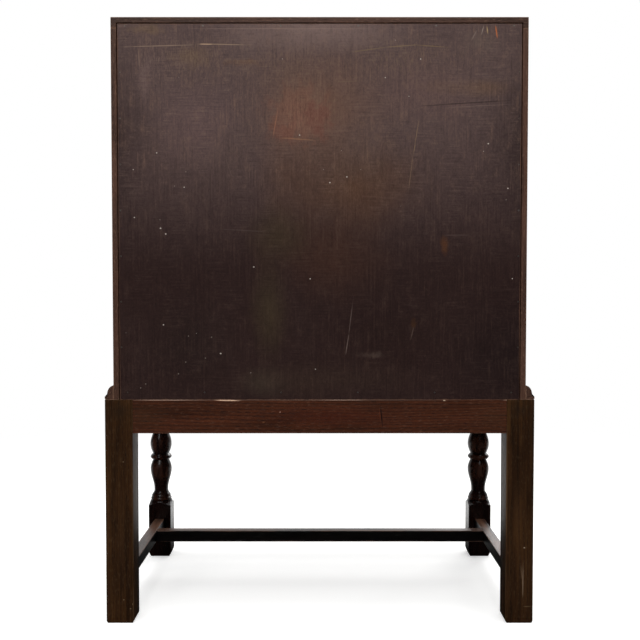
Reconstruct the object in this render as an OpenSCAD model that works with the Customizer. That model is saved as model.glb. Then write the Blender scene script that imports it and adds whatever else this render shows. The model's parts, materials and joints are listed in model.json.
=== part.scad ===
// Slant-front desk: a fall-front carcase with two long drawers, on a stand with turned front legs.
// The front of the desk faces -Y and its back +Y; left and right are those of a person sitting at it.
// The origin is on the floor, under the middle of the whole desk.

/* [Stand] */
// Width of the stand, across its legs
stand_w = 762; // [700:1:860]
// Depth of the stand, across its legs
stand_d = 448; // [436:1:480]
// Height of the stand, from the floor to the top of its rails
stand_h = 401; // [390:1:430]
// Side of the square section of the legs
leg_s = 49; // [46:1:52]
// Height of the four rails
rail_h = 60; // [48:1:70]
// Thickness of the four rails
rail_t = 25; // [22:1:28]
// Length of the tenons on the rails
rail_tenon = 20; // [12:1:20]
// Thickness of every tenon
tenon_t = 8; // [6:1:9]
// Height of the square foot of a front leg, under its turning
foot_h = 123.5; // [112:0.5:128]
// Height of the square block of a front leg, over its turning
block_h = 94; // [86:1:98]
// Width of the worn bevels at the corners of a back leg's foot
wear_w = 2.5; // [1:0.5:5]
// Height of the worn bevels at the corners of a back leg's foot
wear_h = 4; // [2:0.5:8]
// Width of the bevel round a front leg's foot
foot_bevel_w = 6; // [3:0.5:8]
// Height of the bevel round a front leg's foot
foot_bevel_h = 18; // [8:1:24]
// Width of the stretchers
stretcher_w = 21; // [18:1:24]
// Height of the stretchers
stretcher_h = 23.5; // [18:0.5:28]
// Height of the stretchers' top faces over the floor
stretcher_top = 85; // [76:1:95]
// Length of the stub tenons on the stretchers
stub_tenon = 8; // [5:0.5:8]
// Distance from the back of the stand to the back of the cross stretcher
cross_set = 300; // [240:1:330]
// Height of the glue blocks in the corners of the stand
glue_block_h = 40; // [30:1:46]
// Reach of the glue blocks along the rails, past the legs
glue_block_reach = 35; // [25:1:45]

/* [Carcase] */
// Ledge of the stand outside the carcase, at the sides and the front
ledge = 15.5; // [14:0.5:17]
// Height of the carcase
carcase_h = 671; // [655:1:710]
// Height of the writing surface over the stand
write_h = 346; // [338:1:356]
// Thickness of the sides
side_t = 19; // [18:0.5:22]
// Thickness of the top
top_t = 19; // [18:0.5:22]
// Thickness of the bottom
bottom_t = 26; // [26:0.5:30]
// Thickness of the rails between and over the drawers
divider_t = 19; // [16:0.5:22]
// Depth of those rails, from front to back
divider_d = 60; // [45:1:80]
// Depth of the housings that hold the boards in the sides
housing = 6; // [4:0.5:8]
// Thickness of the back panel
panel_t = 6; // [4:0.5:8]
// Width of the edges of the sides and the top that show round the back panel
back_lip = 10; // [9:0.5:11]
// Open joint round the back panel
panel_gap = 1.6; // [1:0.1:2]
// Height of the moulding round the foot of the carcase
moulding_h = 25; // [22:0.5:26]
// Height of the upper drawer's opening
upper_opening_h = 103; // [90:1:110]
// Number of pins down each side of the back panel
pin_rows = 7; // [4:1:9]
// Number of pins across the top of the back panel, and across its foot
pin_columns = 6; // [4:1:8]
// Diameter of the heads of the pins
pin_head_d = 3; // [2.4:0.1:3.6]
// Diameter of the shanks of the pins
pin_d = 1.6; // [1.2:0.1:1.8]
// Length of the pins
pin_l = 18; // [12:1:20]
// Distance of the pins from the edge of the panel
pin_edge = 3.6; // [3.2:0.1:3.8]

/* [Fall] */
// Angle of the closed fall to the floor
slope = 57; // [54:0.5:60]
// Thickness of the fall and of the writing bed
fall_t = 19; // [18:0.5:20]
// Thickness of the lip along the lower edge of the fall
lip_t = 7; // [6:0.5:8]
// Open joint round the closed fall
fall_gap = 1.2; // [0.8:0.1:1.6]
// Gap from the hinge line to the fall, and from the hinge line to the bed
hinge_gap = 0.5; // [0.4:0.1:0.8]
// Width of the cleats across the ends of the fall
cleat_w = 50; // [40:1:60]
// Length of the tongues in the cleats
tongue_l = 8; // [6:1:12]
// Thickness of the tongues in the cleats
tongue_t = 6; // [5:0.5:7]
// Depth of the stop behind the top edge of the fall
stop_t = 18; // [16:0.5:20]
// Length of the stop down the inner face of the fall
stop_l = 12; // [10:1:16]
// Length of each hinge
hinge_l = 60; // [50:1:75]
// Width of each leaf of the hinges
leaf_w = 20; // [16:1:24]
// Thickness of the leaves
leaf_t = 1.8; // [1.4:0.1:2.2]
// Diameter of the knuckles
knuckle_d = 6; // [5.4:0.1:6.6]
// Diameter of the hinge pins
hinge_pin_d = 3; // [2.6:0.1:3.4]
// Distance of the hinges from the middle of the fall
hinge_x = 230; // [180:1:250]

/* [Lock] */
// Width of the lock
lock_w = 56; // [50:1:64]
// Height of the lock
lock_l = 36; // [36:1:42]
// Depth of the lock
lock_t = 11; // [11:0.5:12]
// Thickness of its plates
lock_wall = 1.2; // [1:0.1:1.4]
// Distance of the key's axis from the top edge of the fall
key_set = 21; // [20:0.5:22]
// Diameter of the key's shank
key_d = 4.4; // [4:0.1:4.8]
// Width of the bolt
bolt_w = 24; // [18:1:28]
// Thickness of the bolt
bolt_t = 4; // [3:0.5:4]
// Travel of the bolt
bolt_throw = 7; // [5:0.5:7]
// Thickness of the escutcheon
escutcheon_t = 1; // [0.8:0.1:1.4]
// Diameter of the escutcheon
escutcheon_d = 22; // [18:1:26]
// Outer diameter of the key's bow
bow_d = 22; // [18:1:26]

/* [Lopers] */
// Width of the lopers
loper_w = 22; // [18:1:26]
// Height of the lopers
loper_h = 45; // [40:1:50]
// Length of the lopers
loper_l = 395; // [360:1:398]
// Thickness of the guides beside the lopers
guide_t = 12; // [10:1:16]
// Diameter of the loper knobs
loper_knob_d = 15; // [12:1:18]

/* [Drawers] */
// Thickness of the long drawers' fronts
front_t = 19; // [17:0.5:22]
// Thickness of the long drawers' sides and backs
drawer_side_t = 9; // [8:0.5:12]
// Thickness of the long drawers' bottoms
drawer_bottom_t = 5; // [4:0.5:6]
// Depth of the long drawers, from front to back
drawer_l = 400; // [360:1:405]
// Open joint round a drawer front
front_gap = 1; // [0.7:0.1:1.5]
// Depth of the lap that takes the sides into the front
lap = 12; // [9:0.5:14]
// Half the distance between the two handles of a drawer
handle_x = 215; // [190:1:235]
// Half the distance between the posts of a handle
post_x = 40; // [36:1:44]
// Diameter of the heads of the handle posts
post_d = 11; // [10:0.5:13]
// Distance from the drawer front to the axis of the bail
bail_reach = 12; // [11:0.5:14]
// Diameter of the bail
bail_d = 5; // [4:0.5:5.5]
// Drop of the bail under its axis
bail_drop = 32; // [28:1:34]
// Diameter of the pivots at the ends of the bail
pivot_d = 3.2; // [2.6:0.1:3.6]
// Thickness of the handle plates
plate_t = 1.6; // [1.2:0.1:2]

/* [Interior fitting] */
// Height of the two small drawers' row
small_row_h = 75; // [65:1:85]
// Thickness of the fitting's shelf
shelf_t = 9; // [7:0.5:11]
// Thickness of the fitting's uprights
upright_t = 8; // [6:0.5:10]
// Width of the middle compartment
centre_w = 221; // [180:1:240]
// Set-back of the fitting behind the stop of the fall
fitting_set = 5; // [3:0.5:8]
// Height of the valances over the pigeonholes
valance_h = 28; // [24:1:34]
// Thickness of the valances
valance_t = 6; // [5:0.5:8]
// Thickness of the small drawers' fronts
small_front_t = 11; // [10:0.5:14]
// Thickness of the small drawers' sides, backs and bottoms
small_wall = 6; // [5:0.5:7]
// Diameter of the small drawers' knobs
small_knob_d = 14; // [11:1:16]

/* [Hidden] */
$fn = 48;

// Clearance of wood that slides on wood
slide_gap = 0.3;
// Clearance of a tenon in its mortise, of a pin in its hole, and of an inlay in its pocket
snug = 0.1;
// Radial clearance of a pin that turns in a bore
running_gap = 0.05;
// Glue line between the pieces of one drawer box
glue_line = 0.1;
// Overshoot of a cut past the face it opens
over = 1;

carcase_w = stand_w - 2 * ledge;
inner_x = carcase_w / 2 - side_t;
handle_front = bail_reach + bail_d / 2;
back_y = (stand_d + max(0, handle_front - ledge)) / 2;
stand_front_y = back_y - stand_d;
front_y = stand_front_y + ledge;
panel_y = back_y - panel_t;
base_z = stand_h;
top_z = base_z + carcase_h;
under_top_z = top_z - top_t;
write_z = base_z + write_h;
hinge_y = front_y + fall_t;

// Distance up the closed fall from the hinge line, where its outer face meets the top's underside
top_u = (under_top_z - write_z - fall_t * cos(slope)) / sin(slope);
fall_l = top_u - fall_gap;
fall_half_w = inner_x - fall_gap;
tongue_in = fall_t - lip_t;
lip_reach = sqrt(pow(fall_t, 2) - pow(tongue_in, 2));

loper_top_z = write_z - fall_t - slide_gap;
loper_z = loper_top_z - loper_h;
loper_rail_z = loper_z - slide_gap - divider_t;
upper_z = loper_rail_z - upper_opening_h;
drawer_rail_z = upper_z - divider_t;
lower_z = base_z + bottom_t;
lower_opening_h = drawer_rail_z - lower_z;

loper_x = inner_x - slide_gap - loper_w;
guide_x = loper_x - slide_gap;

panel_half_w = carcase_w / 2 - back_lip - panel_gap;
panel_top_z = top_z - back_lip - panel_gap;

// A point of the closed fall's frame, u up its inner face from the hinge line and v out of it, as [y, z]
function slope_point(u, v) = [
    hinge_y + u * cos(slope) - v * sin(slope),
    write_z + u * sin(slope) + v * cos(slope)
];
// Points of an arc about the origin, from one angle to another
function arc(r, from, to, steps) = [
    for (i = [0:steps]) let (a = from + (to - from) * i / steps) [r * cos(a), r * sin(a)]
];
// Points from one [radius, height, sharp] to the next: the curve runs along the axis at a place that
// isn't sharp, and meets a sharp one at an angle
function share(t, from_sharp, to_sharp) =
    from_sharp ? (to_sharp ? t : sin(90 * t)) : (to_sharp ? 1 - cos(90 * t) : (1 - cos(180 * t)) / 2);
function blend(from, to, steps) = [
    for (i = [1:steps]) let (t = i / steps, k = share(t, from[2], to[2]))
        [from[0] + (to[0] - from[0]) * k, from[1] + (to[1] - from[1]) * t]
];

stop_back_y = slope_point(fall_l - stop_l, -stop_t)[0];
fitting_y = stop_back_y + fitting_set;

OAK = "#3b2416";
OAK_DARK = "#2a180f";
PLY = "#3a2c2a";
DRAWER_WOOD = "#7a5636";
BRASS = "#9a7a3e";
STEEL = "#5c5a58";

module box(low, high) {
    translate(low) cube(high - low);
}

// A piece modelled on the right of the desk, kept there or mirrored to the left
module on_side(side) {
    if (side == "right") children();
    else mirror([1, 0, 0]) children();
}

// Extrudes a [y, z] outline along X, between two values of x
module along_x(x0, x1) {
    translate([x0, 0, 0]) rotate([90, 0, 90]) linear_extrude(x1 - x0) children();
}

// Places a piece in the closed fall's frame: y runs up the slope from the hinge line and z out of it
module on_fall() {
    translate([0, hinge_y, write_z]) rotate([slope, 0, 0]) children();
}

// Solid of revolution about the -Y direction, from [radius, height] points, standing on y = 0
module turned_forward(points) {
    rotate([90, 0, 0]) rotate_extrude() polygon(points);
}

/* Stand */

leg_x = stand_w / 2 - leg_s;
front_leg_y = stand_front_y;
back_leg_y = back_y - leg_s;
rail_z = stand_h - rail_h;
tenon_shoulder = 10;
tenon_h = rail_h - 2 * tenon_shoulder;
stub_shoulder = 4;
stub_h = stretcher_h - 2 * stub_shoulder;
stretcher_x = stand_w / 2 - leg_s / 2 - stretcher_w / 2;
stretcher_z = stretcher_top - stretcher_h;
tenon_in = (rail_t - tenon_t) / 2;
cross_y = back_y - cross_set - stretcher_w;

// Tenon of a rail that runs along X, entering the leg at x, grown for its mortise
module x_tenon(y0, x, grow = 0) {
    box([x - over, y0 + tenon_in - grow, rail_z + tenon_shoulder - grow],
        [x + rail_tenon + grow, y0 + tenon_in + tenon_t + grow, rail_z + tenon_shoulder + tenon_h + grow]);
}

// Tenon of a right-hand side rail, entering a leg between two values of y
module y_tenon(y0, y1, grow = 0) {
    x = stand_w / 2 - rail_t + tenon_in;
    box([x - grow, y0 - grow, rail_z + tenon_shoulder - grow],
        [x + tenon_t + grow, y1 + grow, rail_z + tenon_shoulder + tenon_h + grow]);
}

// Stub tenon of a right-hand stretcher, between two values of y
module stub(y0, y1, grow = 0) {
    x = stand_w / 2 - leg_s / 2;
    box([x - tenon_t / 2 - grow, y0 - grow, stretcher_z + stub_shoulder - grow],
        [x + tenon_t / 2 + grow, y1 + grow, stretcher_z + stub_shoulder + stub_h + grow]);
}

module leg_back(side) {
    outer = stand_w / 2;
    color(OAK_DARK) on_side(side) difference() {
        translate([0, back_y, 0]) rotate([90, 0, 0]) linear_extrude(leg_s)
            polygon([
                [leg_x + wear_w, 0], [outer - wear_w, 0], [outer, wear_h],
                [outer, stand_h], [leg_x, stand_h], [leg_x, wear_h]
            ]);
        x_tenon(back_y - rail_t, leg_x, snug);
        y_tenon(back_leg_y - over, back_leg_y + rail_tenon, snug);
        stub(back_leg_y - over, back_leg_y + stub_tenon, snug);
    }
}

turn_h = stand_h - block_h - foot_h;
// Radius, height over the foot and sharpness of each narrow and wide place of the turning
turning = [
    [20.4, 1, true], [22.8, 4.2, false], [20.8, 7.6, true], [21.2, 8.8, false], [15.4, 22, false],
    [15.4, 26, false], [23.4, 70.5, false], [17.6, 91, true], [23.4, 97.5, false], [17.7, 105, true],
    [23.5, 126.5, false], [17.4, 151, true], [22.8, 157, false], [17.5, 163, true],
    [22, turn_h - 4, false]
];
turn_steps = 5;
shoulder_h = 9;
// Slope of the shoulders' cone, as radius over height
shoulder_flare = 1.3;

function turned_outline(stations) = concat(
    [[0, -foot_h / 2], [stations[0][0], -foot_h / 2], [stations[0][0], stations[0][1]]],
    [for (i = [1:len(stations) - 1]) each blend(stations[i - 1], stations[i], turn_steps)],
    [[stations[len(stations) - 1][0], turn_h + block_h / 2], [0, turn_h + block_h / 2]]
);

// Cuts the corners off a square block towards a turning that starts at z = 0
module shoulder_cone(length) {
    mid = leg_s / 2;
    rotate_extrude($fn = 64) polygon([
        [0, 0], [mid - over, 0], [mid + shoulder_h * shoulder_flare, -shoulder_h], [mid * 2, -shoulder_h],
        [mid * 2, -length], [0, -length]
    ]);
}

// Foot block outline across its width, bevelled at the floor
module foot_outline() {
    mid = leg_s / 2;
    polygon([
        [-mid, foot_bevel_h], [foot_bevel_w - mid, 0], [mid - foot_bevel_w, 0],
        [mid, foot_bevel_h], [mid, foot_h], [-mid, foot_h]
    ]);
}

module leg_front(side) {
    mid = leg_s / 2;
    y_mid = front_leg_y + mid;
    x_mid = leg_x + mid;
    color(OAK_DARK) on_side(side) difference() {
        union() {
            translate([x_mid, y_mid, 0]) intersection() {
                translate([0, mid, 0]) rotate([90, 0, 0]) linear_extrude(leg_s) foot_outline();
                translate([-mid, 0, 0]) rotate([90, 0, 90]) linear_extrude(leg_s) foot_outline();
                translate([0, 0, foot_h]) shoulder_cone(foot_h + over);
            }
            translate([x_mid, y_mid, foot_h]) rotate_extrude($fn = 64) polygon(turned_outline(turning));
            translate([x_mid, y_mid, 0]) intersection() {
                box([-mid, -mid, stand_h - block_h], [mid, mid, stand_h]);
                translate([0, 0, stand_h - block_h]) mirror([0, 0, 1]) shoulder_cone(block_h + over);
            }
        }
        x_tenon(front_leg_y, leg_x, snug);
        y_tenon(front_leg_y + leg_s - rail_tenon, front_leg_y + leg_s + over, snug);
        stub(front_leg_y + leg_s - stub_tenon, front_leg_y + leg_s + over, snug);
    }
}

// Rail along X with a tenon at each end, its outer face at y0
module long_rail(y0) {
    color(OAK) {
        box([-leg_x, y0, rail_z], [leg_x, y0 + rail_t, stand_h]);
        x_tenon(y0, leg_x);
        mirror([1, 0, 0]) x_tenon(y0, leg_x);
    }
}

module stand_rail_side(side) {
    color(OAK) on_side(side) {
        box([stand_w / 2 - rail_t, front_leg_y + leg_s, rail_z], [stand_w / 2, back_leg_y, stand_h]);
        y_tenon(front_leg_y + leg_s - rail_tenon, back_leg_y + rail_tenon);
    }
}

// Stub tenon of the cross stretcher in the right-hand stretcher
module cross_stub(grow = 0) {
    y_mid = cross_y + stretcher_w / 2;
    low_z = stretcher_z + stub_shoulder;
    box([stretcher_x - over, y_mid - tenon_t / 2 - grow, low_z - grow],
        [stretcher_x + stub_tenon + grow, y_mid + tenon_t / 2 + grow, low_z + stub_h + grow]);
}

module stretcher_side(side) {
    color(OAK_DARK) on_side(side) difference() {
        union() {
            box([stretcher_x, front_leg_y + leg_s, stretcher_z],
                [stretcher_x + stretcher_w, back_leg_y, stretcher_top]);
            stub(front_leg_y + leg_s - stub_tenon, back_leg_y + stub_tenon);
        }
        cross_stub(snug);
    }
}

module stretcher_cross() {
    color(OAK_DARK) {
        box([-stretcher_x, cross_y, stretcher_z], [stretcher_x, cross_y + stretcher_w, stretcher_top]);
        cross_stub();
        mirror([1, 0, 0]) cross_stub();
    }
}

// Glue block in the corner of the stand at the origin, whose inside is towards +X and +Y
module glue_block() {
    reach = leg_s + glue_block_reach;
    translate([0, 0, stand_h - glue_block_h]) linear_extrude(glue_block_h)
        polygon([
            [rail_t, leg_s], [leg_s, leg_s], [leg_s, rail_t], [reach, rail_t], [rail_t, reach]
        ]);
}

module corner_blocks() {
    color(DRAWER_WOOD) for (side = ["left", "right"]) on_side(side) {
        translate([stand_w / 2, stand_front_y, 0]) mirror([1, 0, 0]) glue_block();
        translate([stand_w / 2, back_y, 0]) rotate([0, 0, 180]) glue_block();
    }
}

/* Carcase */

// Outline of the base moulding, from the carcase outwards and down: an ovolo, a cove and a fillet
fillet_h = 5.5;
fillet_square = 3.5;
fillet_bevel = 1.5;
cove_r = 3;
cove_set = 1.2;
ovolo_w = ledge - cove_set - cove_r;
ovolo_h = moulding_h - fillet_h - cove_r;
module moulding_outline() {
    ovolo = [for (p = arc(1, 90, 0, 6)) [ovolo_w * p[0], fillet_h + cove_r + ovolo_h * p[1]]];
    cove = [for (p = arc(cove_r, 180, 270, 4)) [ovolo_w + cove_r, fillet_h + cove_r] + p];
    polygon(concat([[0, 0]], [[0, moulding_h]], [for (i = [1:6]) ovolo[i]], [for (i = [1:4]) cove[i]],
        [[ledge, fillet_h], [ledge, fillet_h - fillet_square], [ledge - fillet_bevel, 0]]));
}

// What the mitre at the carcase's front right corner cuts off the side moulding, or off the front one
module mitre(of) {
    far = 2 * (ledge + over);
    translate([carcase_w / 2, front_y, base_z - over]) linear_extrude(moulding_h + 2 * over)
        polygon([[-far, far], [far, -far], of == "side" ? [-far, -far] : [far, far]]);
}

module base_moulding_side(side) {
    color(OAK) on_side(side) difference() {
        translate([carcase_w / 2, back_y, base_z]) rotate([90, 0, 0])
            linear_extrude(back_y - front_y + ledge) moulding_outline();
        mitre("side");
    }
}

module base_moulding_front() {
    color(OAK) difference() {
        translate([0, front_y, base_z]) mirror([0, 1, 0])
            along_x(-stand_w / 2, stand_w / 2) moulding_outline();
        mitre("front");
        mirror([1, 0, 0]) mitre("front");
    }
}

// The four boards housed in the sides, each as [front y, back y, lower z, upper z]
housed_boards = [
    [front_y, panel_y, base_z, base_z + bottom_t],
    [front_y, front_y + divider_d, drawer_rail_z, drawer_rail_z + divider_t],
    [front_y, front_y + divider_d, loper_rail_z, loper_rail_z + divider_t],
    [hinge_y + hinge_gap, panel_y, write_z - fall_t, write_z]
];

module housed_board(b) {
    half = inner_x + housing;
    color(OAK) box([-half, b[0], b[2]], [half, b[1], b[3]]);
}

// Places of the panel pins in its right half and left half, as [x, z]
pin_x = panel_half_w - pin_edge;
pin_top_z = panel_top_z - pin_edge;
pin_foot_z = base_z + bottom_t / 2;
pin_corner_set = 10.5;
pin_head_t = 1;
pin_places = concat(
    [for (s = [-1, 1], i = [1:pin_rows])
        [s * pin_x, pin_foot_z + (pin_top_z - pin_foot_z) * i / (pin_rows + 1)]],
    [for (z = [pin_foot_z, pin_top_z], i = [0:pin_columns - 1])
        [(pin_x - pin_corner_set) * (2 * i / (pin_columns - 1) - 1), z]]
);

module panel_pins(grow = 0) {
    for (p = pin_places) translate([p[0], back_y, p[1]]) rotate([90, 0, 0]) {
        translate([0, 0, -grow]) cylinder(d = pin_head_d + 2 * grow, h = pin_head_t + grow);
        cylinder(d = pin_d + 2 * grow, h = pin_l + grow);
    }
}

module back_panel_pins() {
    color(STEEL) panel_pins();
}

module carcase_side(side) {
    outer = carcase_w / 2;
    top = slope_point(top_u, fall_t);
    nose_z = write_z + fall_t * (1 - sin(slope)) / cos(slope);
    color(OAK) difference() {
        on_side(side) difference() {
            along_x(inner_x, outer) polygon([
                [back_y, base_z], [front_y, base_z], [front_y, nose_z], top, [back_y, under_top_z]
            ]);
            for (b = housed_boards) {
                low = b[2] == base_z ? b[2] - over : b[2];
                box([inner_x - over, b[0] - (b[0] == front_y ? over : 0), low],
                    [inner_x + housing, b[1], b[3]]);
            }
            box([inner_x - over, panel_y, base_z - over], [outer - back_lip, back_y + over, top_z]);
        }
        panel_pins(snug);
    }
}

// Clearance of the bolt in its mortise, and height of its lower face over the fall's inner face
bolt_room = 0.5;
bolt_v = 5.5;
module bolt_mortise() {
    on_fall() box([-bolt_w / 2 - bolt_room, fall_l, bolt_v - bolt_room],
        [bolt_w / 2 + bolt_room, fall_l + bolt_throw + over, bolt_v + bolt_t + bolt_room]);
}

module top_board() {
    bottom_front = slope_point(top_u, fall_t);
    top_front = slope_point(top_u + top_t / sin(slope), fall_t);
    color(OAK) difference() {
        along_x(-carcase_w / 2, carcase_w / 2)
            polygon([[back_y, under_top_z], bottom_front, top_front, [back_y, top_z]]);
        box([back_lip - carcase_w / 2, panel_y, under_top_z - over],
            [carcase_w / 2 - back_lip, back_y + over, top_z - back_lip]);
        panel_pins(snug);
        bolt_mortise();
    }
}

module bottom_board() {
    difference() {
        housed_board(housed_boards[0]);
        panel_pins(snug);
    }
}

module back_panel() {
    color(PLY) difference() {
        box([-panel_half_w, panel_y, base_z], [panel_half_w, back_y, panel_top_z]);
        panel_pins(snug);
    }
}

module writing_bed() {
    half = inner_x + housing;
    back = panel_y - hinge_y;
    under = tongue_in - slide_gap;
    rebate = lip_reach + fall_gap;
    difference() {
        color(OAK) translate([0, hinge_y, write_z]) along_x(-half, half)
            polygon([
                [hinge_gap, 0], [back, 0], [back, -fall_t], [rebate, -fall_t], [rebate, -under],
                [hinge_gap, -under]
            ]);
        translate([0, hinge_y, write_z]) hinge_pockets();
        panel_pins(snug);
    }
}

module fall_bearer() {
    color(OAK) box([-guide_x, front_y, loper_z - slide_gap], [guide_x, front_y + front_t, loper_top_z]);
}

// Runners behind the two rails, along the sides, flush with the tops of the rails
module drawer_runners() {
    color(DRAWER_WOOD) for (side = ["left", "right"], z = [drawer_rail_z, loper_rail_z])
        on_side(side) box([guide_x - guide_t, front_y + divider_d, z], [inner_x, panel_y, z + divider_t]);
}

module loper_guides() {
    color(DRAWER_WOOD) for (side = ["left", "right"])
        on_side(side) box([guide_x - guide_t, front_y + front_t, loper_z - slide_gap],
            [guide_x, panel_y, write_z - fall_t]);
}

// Stop under the top, behind the closed fall: its nose closes the joint over the fall's top edge
stop_nose = 5;
module fall_stop() {
    nose = slope_point(top_u, fall_t - stop_nose);
    corner = slope_point(top_u, -slide_gap);
    foot = slope_point(fall_l - stop_l, -slide_gap);
    heel = slope_point(fall_l - stop_l, -stop_t);
    color(OAK) difference() {
        along_x(-inner_x, inner_x)
            polygon([[nose[0], under_top_z], nose, corner, foot, heel, [heel[0], under_top_z]]);
        bolt_mortise();
        on_fall() strike_blank(snug);
    }
}

// Strike plate round the bolt's mortise: its reach past the bolt along and across, and its thickness
strike_reach = 9;
strike_edge = 3;
strike_t = 1.2;
module strike_blank(grow = 0) {
    half = bolt_w / 2 + strike_reach + grow;
    box([-half, top_u - (grow > 0 ? over : 0), bolt_v - strike_edge - grow],
        [half, top_u + strike_t, bolt_v + bolt_t + strike_edge + grow]);
}

module strike_plate() {
    color(BRASS) difference() {
        on_fall() strike_blank();
        bolt_mortise();
    }
}

/* Hinges, in a frame whose X axis is the hinge line and whose +Y runs along a leaf */

knuckles = 3;
knuckle_l = hinge_l / knuckles;
knuckle_gap = 0.2;

// Knuckles of one leaf: the middle one, or the two outer ones
module knuckle_set(outer) {
    for (i = [0:knuckles - 1]) if ((i % 2 == 0) == outer)
        translate([-hinge_l / 2 + i * knuckle_l + knuckle_gap / 2, 0, 0]) rotate([0, 90, 0])
            cylinder(d = knuckle_d, h = knuckle_l - knuckle_gap);
}

// Clears the room of the other leaf's knuckles
module knuckle_room(outer) {
    for (i = [0:knuckles - 1]) if ((i % 2 == 0) != outer)
        translate([-hinge_l / 2 + i * knuckle_l - knuckle_gap / 2, 0, 0]) rotate([0, 90, 0])
            cylinder(d = knuckle_d + 2 * slide_gap, h = knuckle_l + knuckle_gap);
}

// A leaf let in flush with z = 0, its body on the side of z that is given as -1 or 1
module leaf(outer, into) {
    low = into > 0 ? 0 : -leaf_t;
    difference() {
        union() {
            difference() {
                box([-hinge_l / 2, 0, low], [hinge_l / 2, leaf_w, low + leaf_t]);
                knuckle_room(outer);
            }
            knuckle_set(outer);
        }
        rotate([0, 90, 0])
            cylinder(d = hinge_pin_d + 2 * running_gap, h = hinge_l + 2 * over, center = true);
    }
}

// Room for the leaves and the knuckles in the wood, the leaf on the given side of z
module hinge_pockets(into = -1) {
    low = into > 0 ? -over : -leaf_t;
    for (x = [-hinge_x, hinge_x]) translate([x, 0, 0]) {
        box([-hinge_l / 2 - snug, -over, low], [hinge_l / 2 + snug, leaf_w + snug, low + leaf_t + over]);
        rotate([0, 90, 0])
            cylinder(d = knuckle_d + 2 * slide_gap, h = hinge_l + 2 * snug, center = true);
    }
}

module bed_hinge_leaves() {
    color(BRASS) for (x = [-hinge_x, hinge_x]) translate([x, hinge_y, write_z]) leaf(true, -1);
}

module hinge_pins() {
    color(STEEL) for (x = [-hinge_x, hinge_x]) translate([x, hinge_y, write_z])
        rotate([0, 90, 0]) cylinder(d = hinge_pin_d, h = hinge_l, center = true);
}

module fall_hinge_leaves() {
    color(BRASS) on_fall() for (x = [-hinge_x, hinge_x]) translate([x, 0, 0]) leaf(false, 1);
}

/* Fall, in the frame of on_fall */

tip_angle = 180 - asin(tongue_in / fall_t);
module fall_outline() {
    polygon(concat([[hinge_gap, 0], [fall_l, 0], [fall_l, fall_t]], arc(fall_t, 90, tip_angle, 8),
        [[hinge_gap, tongue_in]]));
}

// Room of the tongue at the fall panel's right end, grown for the groove in the cleat
module tongue(grow = 0) {
    x = fall_half_w - cleat_w;
    mid = fall_t / 2;
    box([x - over, leaf_w, mid - tongue_t / 2 - grow],
        [x + tongue_l + grow, fall_l - leaf_w, mid + tongue_t / 2 + grow]);
}

key_u = fall_l - key_set;
// Keyhole through the fall's outer face: a round hole for the shank with a slot for the bit
bit_l = 9;
bit_t = 2.4;
bit_h = 2.6;
key_room = 0.6;
module keyhole(v0, v1, grow = key_room) {
    translate([0, key_u, v0]) {
        cylinder(d = key_d + 2 * grow, h = v1 - v0);
        box([-bit_t / 2 - grow, -bit_l - grow, 0], [bit_t / 2 + grow, 0, v1 - v0]);
    }
}

module fall_panel() {
    x = fall_half_w - cleat_w;
    color(OAK) on_fall() difference() {
        union() {
            along_x(-x, x) fall_outline();
            tongue();
            mirror([1, 0, 0]) tongue();
        }
        hinge_pockets(1);
        box([-lock_w / 2 - snug, fall_l - lock_l - snug, -over], [lock_w / 2 + snug, fall_l + over, lock_t]);
        keyhole(lock_t - over, fall_t + over);
    }
}

module fall_cleat(side) {
    color(OAK) on_side(side) on_fall() difference() {
        along_x(fall_half_w - cleat_w, fall_half_w) fall_outline();
        tongue(snug);
    }
}

bit_v = 2.4;
module lock_case() {
    inner = lock_w / 2 - lock_wall;
    color(BRASS) on_fall() difference() {
        box([-lock_w / 2, fall_l - lock_l, 0], [lock_w / 2, fall_l, lock_t]);
        box([-inner, fall_l - lock_l + lock_wall, lock_wall],
            [inner, fall_l - lock_wall, lock_t - lock_wall]);
        box([-bolt_w / 2 - slide_gap, fall_l - 2 * lock_wall, bolt_v - slide_gap],
            [bolt_w / 2 + slide_gap, fall_l + over, bolt_v + bolt_t + slide_gap]);
        translate([0, key_u, -over]) cylinder(d = key_d + 2 * running_gap, h = lock_t);
        keyhole(lock_t - lock_wall - over, lock_t + over);
    }
}

module lock_bolt() {
    slot = key_d / 2 + bolt_room;
    color(STEEL) on_fall() difference() {
        box([-bolt_w / 2, fall_l - lock_l + bolt_throw, bolt_v], [bolt_w / 2, fall_l, bolt_v + bolt_t]);
        hull() for (u = [key_u, key_u - bolt_throw])
            translate([0, u, bolt_v - over]) cylinder(r = slot, h = bolt_t + 2 * over, $fn = 32);
    }
}

// The key's bow: its thickness, and how far its middle stands off the escutcheon
bow_t = 3.5;
key_out = 24;
// The collar on its shank: thickness, reach past the shank, and distance from the escutcheon
key_collar_t = 2;
key_collar_reach = 1.5;
key_collar_out = 3;
module key() {
    bow_z = fall_t + escutcheon_t + key_out;
    color(STEEL) on_fall() translate([0, key_u, 0]) {
        translate([0, 0, slide_gap]) cylinder(d = key_d, h = bow_z - bow_d / 2 + bow_t / 2 - slide_gap);
        box([-bit_t / 2, -bit_l, bit_v], [bit_t / 2, 0, bit_v + bit_h]);
        translate([0, 0, bow_z]) rotate([90, 0, 0]) rotate_extrude()
            translate([(bow_d - bow_t) / 2, 0]) circle(d = bow_t, $fn = 24);
        translate([0, 0, fall_t + escutcheon_t + key_collar_out])
            cylinder(d = key_d + 2 * key_collar_reach, h = key_collar_t);
    }
}

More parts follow.
